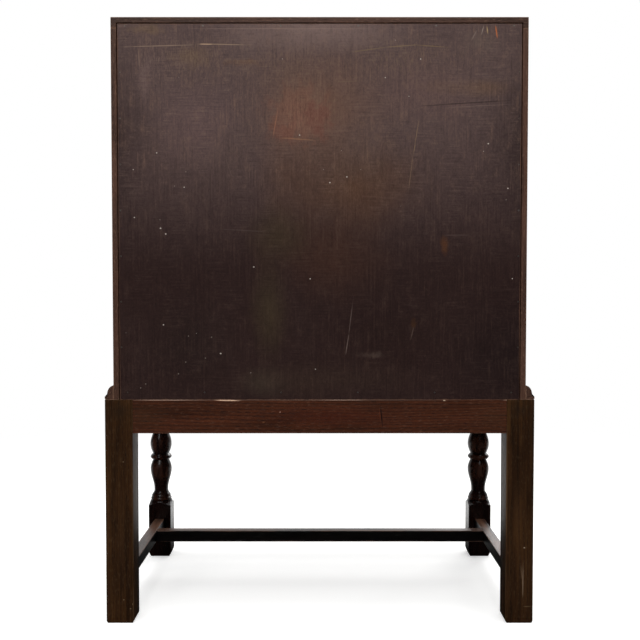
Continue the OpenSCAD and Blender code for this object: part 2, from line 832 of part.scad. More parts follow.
// The round plate's lower lobe, as shares of its diameter
lobe_drop = 0.5;
lobe_d = 0.7;
module escutcheon() {
    color(BRASS) on_fall() difference() {
        translate([0, 0, fall_t]) union() {
            translate([0, key_u, 0]) cylinder(d = escutcheon_d, h = escutcheon_t);
            translate([0, key_u - escutcheon_d * lobe_drop, 0])
                cylinder(d = escutcheon_d * lobe_d, h = escutcheon_t);
        }
        keyhole(fall_t - over, fall_t + escutcheon_t + over);
    }
}

/* Lopers */

module loper(side) {
    color(OAK) on_side(side) difference() {
        box([loper_x, front_y, loper_z], [loper_x + loper_w, front_y + loper_l, loper_top_z]);
        translate([loper_x + loper_w / 2, front_y, loper_z + loper_h / 2]) rotate([-90, 0, 0])
            translate([0, 0, -over]) cylinder(d = knob_tenon_d + 2 * snug, h = knob_tenon_l + over);
    }
}

knob_tenon_d = 5;
knob_tenon_l = 8;
// Turned knob with its foot on y = 0 and its tenon behind, its head towards -Y
module knob(d, tenon_l) {
    reach = d * 1.1;
    turned_forward(concat(
        [[0, -tenon_l], [knob_tenon_d / 2, -tenon_l], [knob_tenon_d / 2, 0], [d * 0.4, 0], [d * 0.4, 1.5],
         [d * 0.22, d * 0.22], [d * 0.22, d * 0.4]],
        [for (p = arc(1, -45, 90, 8)) [max(0, d / 2 * p[0]), reach - d * 0.35 + d * 0.35 * p[1]]]
    ));
}

module loper_knob(side) {
    color(BRASS) on_side(side) translate([loper_x + loper_w / 2, front_y, loper_z + loper_h / 2])
        knob(loper_knob_d, knob_tenon_l);
}

/* Drawers */

// Front of a drawer, lapped for the sides and grooved for the bottom, centred on x = 0 and on z = 0
module drawer_front(w, h, t, side_t, lap_l, bottom_z, bottom_h) {
    groove_half = (w - side_t) / 2;
    difference() {
        box([-w / 2, 0, 0], [w / 2, t, h]);
        for (side = ["left", "right"]) on_side(side)
            box([w / 2 - side_t, t - lap_l, -over], [w / 2 + over, t + over, h + over]);
        box([-groove_half, t - side_t / 2, bottom_z - snug],
            [groove_half, t + over, bottom_z + bottom_h + snug]);
    }
}

// Two grooved sides and a back, as three solids
module drawer_sides(w, h, t, lap_l, l, front, bottom_z, bottom_h) {
    for (side = ["left", "right"]) on_side(side) difference() {
        box([w / 2 - t, front - lap_l, 0], [w / 2, l, h]);
        box([w / 2 - t - over, front - lap_l - over, bottom_z - snug],
            [w / 2 - t / 2, l + over, bottom_z + bottom_h + snug]);
    }
    box([-w / 2 + t + glue_line, l - t, bottom_z + bottom_h + snug], [w / 2 - t - glue_line, l, h]);
}

module drawer_bottom(w, t, front, l, bottom_z, bottom_h) {
    half = (w - t) / 2 - snug;
    box([-half, front - t / 2 + snug, bottom_z], [half, l, bottom_z + bottom_h]);
}

drawer_w = 2 * (inner_x - front_gap);
drawer_bottom_z = 8;
// How much lower the sides of a drawer are than its front
side_drop = 3;

module long_drawer_front(z, opening) {
    color(OAK) translate([0, front_y, z + slide_gap])
        drawer_front(drawer_w, opening - slide_gap - front_gap, front_t, drawer_side_t, lap,
            drawer_bottom_z, drawer_bottom_t);
}

module long_drawer_box(z, opening) {
    color(DRAWER_WOOD) translate([0, front_y, z + slide_gap])
        drawer_sides(drawer_w, opening - slide_gap - front_gap - side_drop, drawer_side_t, lap, drawer_l,
            front_t, drawer_bottom_z, drawer_bottom_t);
}

module long_drawer_bottom(z) {
    color(DRAWER_WOOD) translate([0, front_y, z + slide_gap])
        drawer_bottom(drawer_w, drawer_side_t, front_t, drawer_l, drawer_bottom_z, drawer_bottom_t);
}

// Height of the bail's axis over the middle of its drawer front
handle_lift = 12;
function handle_z(z, opening) = z + opening / 2 + handle_lift;

// Places a handle's pieces: x = 0 is its middle, y = 0 the drawer's face, z = 0 the bail's axis
eye_d = post_d * 0.8;
module at_handle(x, z, opening) {
    translate([x, front_y, handle_z(z, opening)]) children();
}

// Back plate with two posts, each ending in an eye for the bail's pivot
module handle_plate() {
    difference() {
        union() {
            rotate([90, 0, 0]) linear_extrude(plate_t) {
                for (x = [-post_x, post_x]) translate([x, 0]) circle(d = post_d * 2);
                translate([-post_x, -post_d * 0.45]) square([2 * post_x, post_d * 0.9]);
                translate([0, -post_d * 0.2]) circle(d = post_d * 2.2);
            }
            for (x = [-post_x, post_x]) translate([x, 0, 0]) {
                rotate([90, 0, 0]) cylinder(d = post_d * 0.55, h = bail_reach);
                translate([0, -bail_reach, 0]) rotate([0, 90, 0])
                    cylinder(d = eye_d, h = post_d, center = true);
            }
        }
        for (x = [-post_x, post_x]) translate([x, -bail_reach, 0]) rotate([0, 90, 0])
            cylinder(d = pivot_d + 2 * running_gap, h = post_d + 2 * over, center = true);
    }
}

module handle_plates(z, opening) {
    color(BRASS) for (x = [-handle_x, handle_x]) at_handle(x, z, opening) handle_plate();
}

// Clearance of the bail's arms beside the posts, and how far short of the far side its pivots end
arm_gap = 0.6;
pivot_short = 2;
arm_x = post_x + post_d / 2 + bail_d / 2 + arm_gap;
pivot_l = arm_x - post_x + post_d / 2 - pivot_short;
bend_r = 13;
module bail(x, z, opening) {
    color(BRASS) at_handle(x, z, opening) translate([0, -bail_reach, 0]) {
        for (s = [-1, 1]) {
            translate([s * arm_x, 0, 0]) sphere(d = bail_d);
            translate([s * arm_x, 0, bend_r - bail_drop]) cylinder(d = bail_d, h = bail_drop - bend_r);
            translate([s * arm_x, 0, 0]) rotate([0, -90 * s, 0]) cylinder(d = pivot_d, h = pivot_l);
            translate([s * (arm_x - bend_r), 0, bend_r - bail_drop])
                rotate([90, 0, 0]) rotate([0, 0, s > 0 ? -90 : 180])
                    rotate_extrude(angle = 90) translate([bend_r, 0]) circle(d = bail_d);
        }
        translate([bend_r - arm_x, 0, -bail_drop]) rotate([0, 90, 0])
            cylinder(d = bail_d, h = 2 * (arm_x - bend_r));
    }
}

/* Interior fitting */

shelf_z = write_z + small_row_h;
upright_x = centre_w / 2;
outer_upright_x = (upright_x + upright_t + inner_x) / 2 - upright_t / 2;

module fitting_shelf() {
    color(OAK) box([-inner_x, fitting_y, shelf_z], [inner_x, panel_y, shelf_z + shelf_t]);
}

module fitting_uprights() {
    color(OAK) for (side = ["left", "right"]) on_side(side) {
        box([upright_x, fitting_y, write_z], [upright_x + upright_t, panel_y, shelf_z - glue_line]);
        for (x = [upright_x, outer_upright_x])
            box([x, fitting_y, shelf_z + shelf_t], [x + upright_t, panel_y, under_top_z]);
    }
}

// Valance between two values of x, its lower edge a row of arches, each about as wide as arch_w
arch_w = 55;
arch_crown = 9;
arch_foot = 3;
module valance(x0, x1) {
    arches = round((x1 - x0) / arch_w);
    pitch = (x1 - x0) / arches;
    rise = valance_h - arch_crown;
    half = (pitch - arch_foot) / 2;
    r = (half * half + rise * rise) / (2 * rise);
    difference() {
        box([x0 + glue_line, fitting_y, under_top_z - valance_h],
            [x1 - glue_line, fitting_y + valance_t, under_top_z]);
        for (i = [0:arches - 1])
            translate([x0 + pitch * (i + 0.5), fitting_y - over, under_top_z - valance_h + rise - r])
                rotate([-90, 0, 0]) cylinder(r = r, h = valance_t + 2 * over);
    }
}

module fitting_valances() {
    color(OAK) {
        valance(-upright_x, upright_x);
        for (side = ["left", "right"]) on_side(side) {
            valance(upright_x + upright_t, outer_upright_x);
            valance(outer_upright_x + upright_t, inner_x);
        }
    }
}

small_opening_x = upright_x + upright_t;
small_w = inner_x - small_opening_x - 2 * front_gap;
small_room = 4;
small_l = panel_y - fitting_y - small_room;
small_bottom_z = 4;

// A small drawer with its knob: front, two sides, back, bottom and knob
module small_drawer(side) {
    h = small_row_h - slide_gap - front_gap;
    color(OAK) on_side(side)
        translate([(small_opening_x + inner_x) / 2, fitting_y, write_z + slide_gap]) {
            difference() {
                drawer_front(small_w, h, small_front_t, small_wall + glue_line, small_wall + glue_line,
                    small_bottom_z, small_wall / 2);
                translate([0, 0, h / 2]) rotate([-90, 0, 0])
                    translate([0, 0, -over])
                        cylinder(d = knob_tenon_d + 2 * snug, h = small_front_t / 2 + over);
            }
            drawer_sides(small_w, h - side_drop, small_wall, small_wall, small_l, small_front_t,
                small_bottom_z, small_wall / 2);
            drawer_bottom(small_w, small_wall, small_front_t, small_l, small_bottom_z, small_wall / 2);
            translate([0, -glue_line, h / 2]) knob(small_knob_d, small_front_t / 2);
        }
}

leg_back("left");  // leg_back_left
leg_back("right");  // leg_back_right
leg_front("left");  // leg_front_left
leg_front("right");  // leg_front_right
long_rail(back_y - rail_t);  // stand_rail_back
long_rail(stand_front_y);  // stand_rail_front
stand_rail_side("left");  // stand_rail_left
stand_rail_side("right");  // stand_rail_right
stretcher_side("left");  // stretcher_left
stretcher_side("right");  // stretcher_right
stretcher_cross();
corner_blocks();
base_moulding_side("left");  // base_moulding_left
base_moulding_side("right");  // base_moulding_right
base_moulding_front();
carcase_side("left");  // side_left
carcase_side("right");  // side_right
top_board();
bottom_board();
back_panel();
back_panel_pins();
housed_board(housed_boards[1]);  // drawer_rail
housed_board(housed_boards[2]);  // loper_rail
fall_bearer();
drawer_runners();
loper_guides();
writing_bed();
fall_stop();
strike_plate();
bed_hinge_leaves();
hinge_pins();
fall_panel();
fall_cleat("left");  // fall_cleat_left
fall_cleat("right");  // fall_cleat_right
fall_hinge_leaves();
lock_case();
lock_bolt();
key();
escutcheon();
loper("left");  // loper_left
loper("right");  // loper_right
loper_knob("left");  // loper_knob_left
loper_knob("right");  // loper_knob_right
long_drawer_front(upper_z, upper_opening_h);  // upper_drawer_front
long_drawer_box(upper_z, upper_opening_h);  // upper_drawer_box
long_drawer_bottom(upper_z);  // upper_drawer_bottom
handle_plates(upper_z, upper_opening_h);  // upper_drawer_handle_plates
bail(-handle_x, upper_z, upper_opening_h);  // upper_drawer_bail_left
bail(handle_x, upper_z, upper_opening_h);  // upper_drawer_bail_right
long_drawer_front(lower_z, lower_opening_h);  // lower_drawer_front
long_drawer_box(lower_z, lower_opening_h);  // lower_drawer_box
long_drawer_bottom(lower_z);  // lower_drawer_bottom
handle_plates(lower_z, lower_opening_h);  // lower_drawer_handle_plates
bail(-handle_x, lower_z, lower_opening_h);  // lower_drawer_bail_left
bail(handle_x, lower_z, lower_opening_h);  // lower_drawer_bail_right
fitting_shelf();
fitting_uprights();
fitting_valances();
small_drawer("left");  // small_drawer_left
small_drawer("right");  // small_drawer_right
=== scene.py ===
import json
import math
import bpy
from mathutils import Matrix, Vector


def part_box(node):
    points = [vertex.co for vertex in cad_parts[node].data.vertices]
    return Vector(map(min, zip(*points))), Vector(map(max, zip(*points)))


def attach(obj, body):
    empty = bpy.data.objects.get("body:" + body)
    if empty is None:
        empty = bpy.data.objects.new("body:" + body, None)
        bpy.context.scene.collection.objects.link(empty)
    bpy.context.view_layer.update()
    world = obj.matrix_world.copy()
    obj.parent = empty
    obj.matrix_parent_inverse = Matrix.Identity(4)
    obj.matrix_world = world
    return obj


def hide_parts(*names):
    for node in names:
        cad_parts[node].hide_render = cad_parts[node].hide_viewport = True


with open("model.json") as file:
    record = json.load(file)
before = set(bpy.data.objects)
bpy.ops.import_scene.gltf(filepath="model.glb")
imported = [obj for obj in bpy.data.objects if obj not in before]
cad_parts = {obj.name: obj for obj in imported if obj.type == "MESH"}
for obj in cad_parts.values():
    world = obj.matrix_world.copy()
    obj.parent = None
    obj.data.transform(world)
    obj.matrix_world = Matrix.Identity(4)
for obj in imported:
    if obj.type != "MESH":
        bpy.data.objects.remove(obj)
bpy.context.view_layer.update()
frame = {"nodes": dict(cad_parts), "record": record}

import zlib

import bmesh
import bpy
import numpy as np
from mathutils import Matrix, Vector

# Every length below is in metres; MM turns a size in millimetres into them
MM = 0.001
SIDES = ("left", "right")

# Angle of the closed fall to the floor
SLOPE = math.radians(57)

# Camera, as the photograph was taken: its place, its tilt below the horizon and its lens
CAMERA_PLACE = (-0.0007, 1.817, 0.600)
CAMERA_TILT = math.radians(2.07)
LENS = 50.74
SENSOR = 36.0

# Levels of the world: what lights the desk, and what polished faces mirror behind and before it
AMBIENT = 0.50
BACKDROP = 0.7
DIM_ROOM = 0.0
FLOOR_LIFT = 0.45


def linear(colour):
    """Linear RGBA of an sRGB hex colour such as '#3b2416'."""
    s = np.array([int(colour[i:i + 2], 16) for i in (1, 3, 5)]) / 255.0
    rgb = np.where(s <= 0.04045, s / 12.92, ((s + 0.055) / 1.055) ** 2.4)
    return (*[float(v) for v in rgb], 1.0)


def put(tree, kind, inputs=(), **settings):
    """Adds a shader node of that kind, with its settings, and links or sets its inputs.

    The inputs are listed in their order, or by name or number. Each is a node, whose first live output
    is taken, an output, a hex colour or a value.
    """
    made = tree.nodes.new("ShaderNode" + kind)
    for name, value in settings.items():
        setattr(made, name, value)
    for key, value in inputs.items() if isinstance(inputs, dict) else enumerate(inputs):
        if isinstance(value, bpy.types.Node):
            value = next(output for output in value.outputs if output.enabled)
        if isinstance(value, bpy.types.NodeSocket):
            tree.links.new(value, made.inputs[key])
        else:
            made.inputs[key].default_value = linear(value) if isinstance(value, str) else value
    return made


# Settings of nodes that ease between two values, mix colours or numbers, multiply, and multiply and add
EASED = {"interpolation_type": "SMOOTHSTEP"}
COLOURS = {"data_type": "RGBA"}
NUMBERS = {"data_type": "FLOAT"}
TIMES = {"operation": "MULTIPLY"}
TIMES_PLUS = {"operation": "MULTIPLY_ADD"}


def bare_material(name):
    """New material with nothing in its tree yet, and that tree."""
    material = bpy.data.materials.new(name)
    material.use_nodes = True
    material.node_tree.nodes.clear()
    return material, material.node_tree


def base_colour(material):
    """Tree of a finished material, the input of its base colour and what feeds it."""
    tree = material.node_tree
    entry = next(n for n in tree.nodes if n.type == "BSDF_PRINCIPLED").inputs["Base Color"]
    return tree, entry, entry.links[0].from_socket


def in_scene(thing):
    """Links an object to the scene."""
    bpy.context.scene.collection.objects.link(thing)
    return thing


# Patterns in the wood and its finish


def streaks(tree, place, length, width, detail=2.0, roughness=0.5):
    """Noise from 0 to 1 drawn out along the grain, its cells as long and as wide as given in mm."""
    cells = put(tree, "VectorMath", [place, [1 / (size * MM) for size in (length, width, width)]], **TIMES)
    return put(tree, "TexNoise", {"Vector": cells, "Scale": 1.0, "Detail": detail, "Roughness": roughness})


def layered(tree, colour, tints):
    """Lays tints over a colour in turn: each is (tint, strength, where it shows from 0 to 1)."""
    for tint, strength, where in tints:
        amount = put(tree, "Math", [where, strength], use_clamp=True, **TIMES)
        colour = put(tree, "Mix", {0: amount, 6: colour, 7: tint}, **COLOURS)
    return colour


def board_place(tree):
    """Where a point lies in its board: along the grain, across it and through it, shifted board by board."""
    grain = put(tree, "Attribute", attribute_name="grain").outputs["Vector"]
    shift = put(tree, "Attribute", attribute_name="shift").outputs["Vector"]
    return put(tree, "VectorMath", [grain, shift], operation="ADD")


# Width of a growth ring in mm, how long and wide its bends are, and how far they lean
RING_W = 4.2
BEND_L = 300
BEND_W = 50
BEND_BY = 16


def growth_rings(tree, place):
    """0 to 1 across each growth ring: distance from the pith, bent along the board, over the ring's width."""
    bend = streaks(tree, place, BEND_L, BEND_W).outputs["Color"]
    bent = put(tree, "VectorMath", [bend, (0.0, BEND_BY * MM, BEND_BY * MM), place], **TIMES_PLUS)
    across = put(tree, "VectorMath", [bent, (0.0, 1.0, 1.0)], **TIMES)
    reach = put(tree, "VectorMath", [across], operation="LENGTH")
    rings = put(tree, "Math", [reach, 1 / (RING_W * MM)], **TIMES)
    return put(tree, "Math", [rings], operation="FRACT")


def from_faces(tree):
    """Distances of a point from the ends, edges and faces of its board, by its half sizes."""
    grain = put(tree, "Attribute", attribute_name="grain").outputs["Vector"]
    half = put(tree, "Attribute", attribute_name="half").outputs["Vector"]
    out = put(tree, "VectorMath", [grain], operation="ABSOLUTE")
    left = put(tree, "VectorMath", [half, out], operation="SUBTRACT")
    return put(tree, "SeparateXYZ", [left]).outputs


def arris_distance(tree):
    """Distance of a point from the nearest arris of its board, in metres.

    A point on a board's surface lies on one face, so the second smallest of its three distances from
    the faces is its distance from an arris. Slant is the distance from a face cut at an angle.
    """
    slant = put(tree, "Attribute", attribute_name="slant").outputs["Fac"]
    along, across, through = from_faces(tree)
    across = put(tree, "Math", [across, slant], operation="MINIMUM")
    low = put(tree, "Math", [along, across], operation="MINIMUM")
    high = put(tree, "Math", [along, across], operation="MAXIMUM")
    middle = put(tree, "Math", [high, through], operation="MINIMUM")
    return put(tree, "Math", [low, middle], operation="MAXIMUM")


def rubbed(tree, place, reach):
    """1 on the arrises and crests that hands and cloths have rubbed, broken up along them."""
    patchy = streaks(tree, place, 60, 12, 3.0, 0.6)
    uneven = put(tree, "Math", [patchy, 0.5], operation="SUBTRACT")
    ragged = put(tree, "Math", [uneven, -3.0 * reach, arris_distance(tree)], **TIMES_PLUS)
    edge = put(tree, "MapRange", [ragged, reach, 0.15 * reach], **EASED)
    crest = put(tree, "Attribute", attribute_name="crest").outputs["Fac"]
    broken = put(tree, "MapRange", [patchy, 0.35, 0.65], **EASED)
    worn_crest = put(tree, "Math", [crest, broken], **TIMES)
    return put(tree, "Math", [edge, worn_crest], operation="MAXIMUM")


# Width and length in mm of an oak pore's dash: real ones are 0.3 mm wide, drawn coarser so that they show
PORE_W = 1.2
PORE_L = 9


def stained_oak(name, deep, mid, light, worn, pores=0.6, figure=0.3, gloss=0.42, rub=1.0 * MM,
                rubbed_share=0.5, shine=0.15, polish=0.0, dusty=0.25, worn_and_lit_tops=0.0):
    """Open-grained oak under dark stain and wax: soft streaks, pores, grime and rubbed arrises.

    Pores, figure, dusty and worn_and_lit_tops say how strongly its pores, its growth rings, pale dust in its
    finer dashes and a pale on faces that look up show; that pale is partly wear and partly painted light
    falling on tops. Gloss is its roughness, rub how far in an arris is rubbed and rubbed_share how much,
    shine its specular level and polish its coat.
    """
    material, tree = bare_material(name)
    place = board_place(tree)
    streak = streaks(tree, place, 200, 6.5, 4.0, 0.62)
    broad = streaks(tree, place, 220, 35, 4.0, 0.6)
    tone = put(tree, "Mix", {0: 0.5, 2: streak, 3: broad}, **NUMBERS)
    facing = put(tree, "NewGeometry").outputs["Normal"]
    # each pattern, with its values where it starts to show and where it shows in full
    early, dash, paler, grime, dust, upward = (
        put(tree, "MapRange", [pattern, start, full], **EASED) for pattern, start, full in (
            (growth_rings(tree, place), 0.55, 0.0),
            (streaks(tree, place, PORE_L, PORE_W, 1.0), 0.52, 0.66),
            (tone, 0.34, 0.72),
            (broad, 0.50, 0.28),
            (streaks(tree, place, PORE_L, 2 * PORE_W, 2.0), 0.46, 0.30),
            (put(tree, "SeparateXYZ", [facing]).outputs[2], 0.6, 0.9)))
    in_ring = put(tree, "Math", [early, 0.7, 0.3], **TIMES_PLUS)
    pore = put(tree, "Math", [dash, in_ring], **TIMES)
    # painted light: faces that look up are made paler, partly wear of feet and partly the light that falls on
    # tops
    tops_worn_and_lit = put(tree, "Math", [upward, paler], **TIMES)
    wear = rubbed(tree, place, rub)
    colour = layered(tree, mid, [
        (light, 1.0, paler), (deep, figure, early), (deep, pores, pore), (deep, 0.4, grime),
        (worn, dusty, dust), (worn, worn_and_lit_tops, tops_worn_and_lit), (worn, rubbed_share, wear)])
    dull = gloss - 0.08
    for pattern, duller in ((pore, 0.22), (wear, 0.15), (broad, 0.16)):
        dull = put(tree, "Math", [pattern, duller, dull], **TIMES_PLUS)
    height = put(tree, "Math", [pore, -0.8, streak], **TIMES_PLUS)
    relief = put(tree, "Bump", {"Height": height, "Distance": 0.10 * MM})
    shader = put(tree, "BsdfPrincipled", {
        "Base Color": colour, "Roughness": dull, "Normal": relief,
        "Specular IOR Level": shine, "Coat Weight": polish, "Coat Roughness": 0.15})
    put(tree, "OutputMaterial", {"Surface": shader})
    return material


# Half depth of a mark along Y, so great that it doesn't change through a board
MARK_DEEP = 1.0e4


def marked(tree, colour, marks, breaking):
    """Lays marks over a colour on a face that looks along Y, their edges fretted by the breaking noise.

    A mark is a long soft spot: its tint, its strength, x and z of its middle and its half sizes in mm,
    its softness and, where it leans, its turn about Y in degrees.
    """
    place = put(tree, "TexCoord").outputs["Object"]
    tints = []
    for tint, strength, x, z, half_x, half_z, soft, *turn in marks:
        moved = put(tree, "Mapping", {
            "Vector": place,
            "Location": (x * MM, 0.0, z * MM),
            "Rotation": (0.0, math.radians(sum(turn)), 0.0),
            "Scale": (half_x * MM, MARK_DEEP, half_z * MM),
        }, vector_type="TEXTURE")
        ball = put(tree, "TexGradient", {"Vector": moved}, gradient_type="SPHERICAL").outputs["Fac"]
        fretted = put(tree, "Math", [breaking, -0.5, ball], **TIMES_PLUS)
        tints.append((tint, strength, put(tree, "MapRange", [fretted, 0.0, soft], **EASED)))
    return layered(tree, colour, tints)


# What the years left on the back panel, from its broad clouds to its flecks, as marked() takes it; its
# lighter clouds above are partly painted sheen
PANEL_CLOUDS = [
    # warm bloom down the middle from the top, partly painted sheen, olive and brown lower down
    ("#5e4335", 0.85, 0, 915, 210, 190, 0.8),
    ("#4a3122", 0.85, -50, 780, 230, 150, 0.8),
    ("#37221a", 0.8, -20, 660, 200, 150, 0.8),
    ("#58412f", 0.55, -290, 950, 90, 28, 0.8),
    # grey bloom on the upper left and right and along the top, partly painted sheen
    ("#564342", 0.7, 215, 890, 130, 150, 0.8),
    ("#55413e", 0.7, -190, 950, 170, 110, 0.8),
    ("#6c5954", 0.85, 20, 1050, 270, 80, 0.8),
    # darker margins and foot
    ("#261918", 0.95, 395, 870, 165, 360, 0.8),
    ("#221615", 0.95, -400, 860, 185, 360, 0.8),
    ("#1b1010", 0.8, -330, 480, 200, 210, 0.8),
    ("#221412", 0.6, -120, 520, 180, 160, 0.8),
    ("#231816", 0.6, 230, 500, 150, 150, 0.8),
    ("#382e25", 0.9, 100, 432, 80, 50, 0.9),
    ("#352a1c", 0.85, 88, 560, 62, 150, 0.8),
    ("#34281b", 0.75, 72, 690, 90, 90, 0.8),
    ("#30221c", 0.7, 0, 436, 320, 60, 0.8),
]
# Small worn places, fretted like the wood's own figure
PANEL_PATCHES = [
    ("#6a483a", 0.42, 36, 903, 84, 80, 0.35),
    ("#643c30", 0.4, 62, 870, 44, 30, 0.5),
    ("#5a302a", 0.4, 0, 898, 34, 56, 0.5, 8),
    ("#5e4a38", 0.45, 225, 1003, 66, 34, 0.7),
    ("#634834", 0.4, 130, 993, 60, 12, 0.6),
    ("#65503c", 0.55, 306, 1050, 56, 16, 0.7),
    ("#64504c", 0.5, 307, 968, 20, 70, 0.7),
    ("#4f2f1a", 0.7, -222, 674, 14, 26, 0.7),
    ("#3c2412", 0.65, -165, 533, 9, 22, 0.7, -12),
    ("#5a4c44", 0.45, -284, 1030, 60, 50, 0.8),
    ("#4b3d36", 0.5, -93, 480, 46, 12, 0.8),
    ("#5c473c", 0.45, -240, 950, 130, 26, 0.7, -2),
]
# Places rubbed by things stood against the back, where only thin upright strokes show
PANEL_RUBS = [
    ("#735d4c", 0.36, 225, 1000, 150, 70, 1.0),
    ("#6b5545", 0.34, 60, 985, 210, 100, 1.0),
    ("#84584a", 0.3, 38, 900, 74, 70, 0.8),
    ("#6d5844", 0.3, -150, 1000, 190, 80, 1.0),
    ("#5a4638", 0.34, -70, 830, 210, 200, 1.0),
    ("#6a5650", 0.34, 300, 990, 80, 120, 1.0),
    ("#5c4a42", 0.26, 180, 840, 200, 120, 1.0),
]
# Scratches, cracks and worn arrises
PANEL_SCRATCHES = [
    # worn arris along the panel's top
    ("#77635a", 0.55, 60, 1051.6, 290, 1.5, 0.5),
    # long pale scratch across the upper left
    ("#86705f", 0.6, 278, 1022, 106, 1.5, 0.4, 1.6),
    ("#8d7660", 0.6, 168, 1024.5, 76, 1.5, 0.4, -1.4),
    ("#b39478", 0.6, 200, 1024.8, 26, 1.4, 0.5, -1.0),
    ("#7d6556", 0.45, 316, 1000, 1.5, 34, 0.5, 3),
    ("#6f5644", 0.45, 130, 996, 50, 1.4, 0.5),
    # pale bow across the upper right
    ("#74603f", 0.45, -87, 1015.5, 50, 1.9, 0.5, 8),
    ("#7c6748", 0.5, -140, 1021.5, 54, 1.9, 0.5, 4),
    ("#74603f", 0.45, -196, 1021.5, 52, 1.8, 0.5, -4),
    # bright scratches at the upper right corner
    ("#a25a30", 0.8, -309, 1046, 2.0, 18, 0.4, 8),
    ("#9c835c", 0.7, -293, 1050, 1.9, 13, 0.5, 8),
    ("#8a7a70", 0.6, -285, 1050, 1.8, 14, 0.5, -14),
    ("#75665e", 0.5, -270, 1040, 1.8, 16, 0.5, -28),
    # foot of the worn patch, lighter than the rest of it
    ("#8c6448", 0.4, 37, 860, 50, 2.2, 0.5, -4),
    ("#8a5a44", 0.45, 78, 885, 2.0, 40, 0.5, -10),
    # faint dark crack from the right edge, with a pale line under it
    ("#170e0d", 0.6, -262, 923, 120, 1.8, 0.5, 3.4),
    ("#150c0b", 0.45, -195, 918.5, 40, 1.5, 0.5, 2),
    ("#65544f", 0.36, -275, 917.5, 100, 1.8, 0.5, 3),
    # long pale scratch down the right half
    ("#7c644c", 0.45, -170, 868, 1.6, 42, 0.5, -9),
    ("#7f6850", 0.35, -167, 846, 1.5, 16, 0.5, -9),
    ("#6d5844", 0.45, -160, 800, 1.5, 58, 0.5, -7),
    # two pale scratches low in the middle
    ("#5c4d48", 0.5, -55, 545, 1.5, 56, 0.5, -7),
    ("#6c5c55", 0.5, -49, 500, 1.6, 32, 0.5, -9),
    # faint level and slanting scratches
    ("#54443f", 0.5, -240, 692, 40, 1.3, 0.5),
    ("#4a3d39", 0.5, 130, 700, 80, 1.3, 0.5, -3),
    ("#5e4d44", 0.45, -164, 520, 1.3, 20, 0.5, -14),
    ("#604f49", 0.4, 212, 846, 30, 1.4, 0.5, -2),
    ("#56463f", 0.4, 160, 812, 1.3, 40, 0.5, 18),
    ("#63503f", 0.4, -45, 960, 50, 1.3, 0.5, 2),
]
# The largest flecks of lime on the panel and fainter ones, x and z in mm
BRIGHT_FLECKS = [
    (326, 723), (280, 704), (271, 694), (116, 636), (-48, 794), (-18, 784),
    (-296, 852), (-331, 774), (35, 867), (286, 836), (276, 534), (175, 483),
]
FAINT_FLECKS = [
    (308, 429), (317, 422), (281, 719), (-328, 754), (255, 778), (235, 803), (232, 514), (191, 512),
    (237, 468), (202, 475), (250, 447), (122, 449),
]
# Side of the cells that may hold a smaller fleck and the share of them that does; then, in shares of a
# cell, a fleck's least radius, what may be added to it and its soft edge
FLECK_CELL = 32 * MM
FLECK_SHARE = 0.05
FLECK_R = 0.016
FLECK_R_ADDED = 0.026
FLECK_EDGE = 0.02


def pale_flecks(tree, place):
    """1 on small round flecks of lime, one in a share of the cells of a grid."""
    cells = put(tree, "VectorMath", [place, (1 / FLECK_CELL, 1 / FLECK_CELL, 0.0)], **TIMES)
    scattered = put(tree, "TexVoronoi", {"Vector": cells, "Scale": 1.0}, voronoi_dimensions="2D")
    red, green, _ = put(tree, "SeparateColor", [scattered.outputs["Color"]]).outputs
    size = put(tree, "Math", [green, FLECK_R_ADDED, FLECK_R], **TIMES_PLUS)
    inside = put(tree, "Math", [size, scattered.outputs["Distance"]], operation="SUBTRACT")
    dot = put(tree, "MapRange", [inside, 0.0, FLECK_EDGE], **EASED)
    chosen = put(tree, "Math", [red, 1.0 - FLECK_SHARE], operation="GREATER_THAN")
    return put(tree, "Math", [dot, chosen], **TIMES)


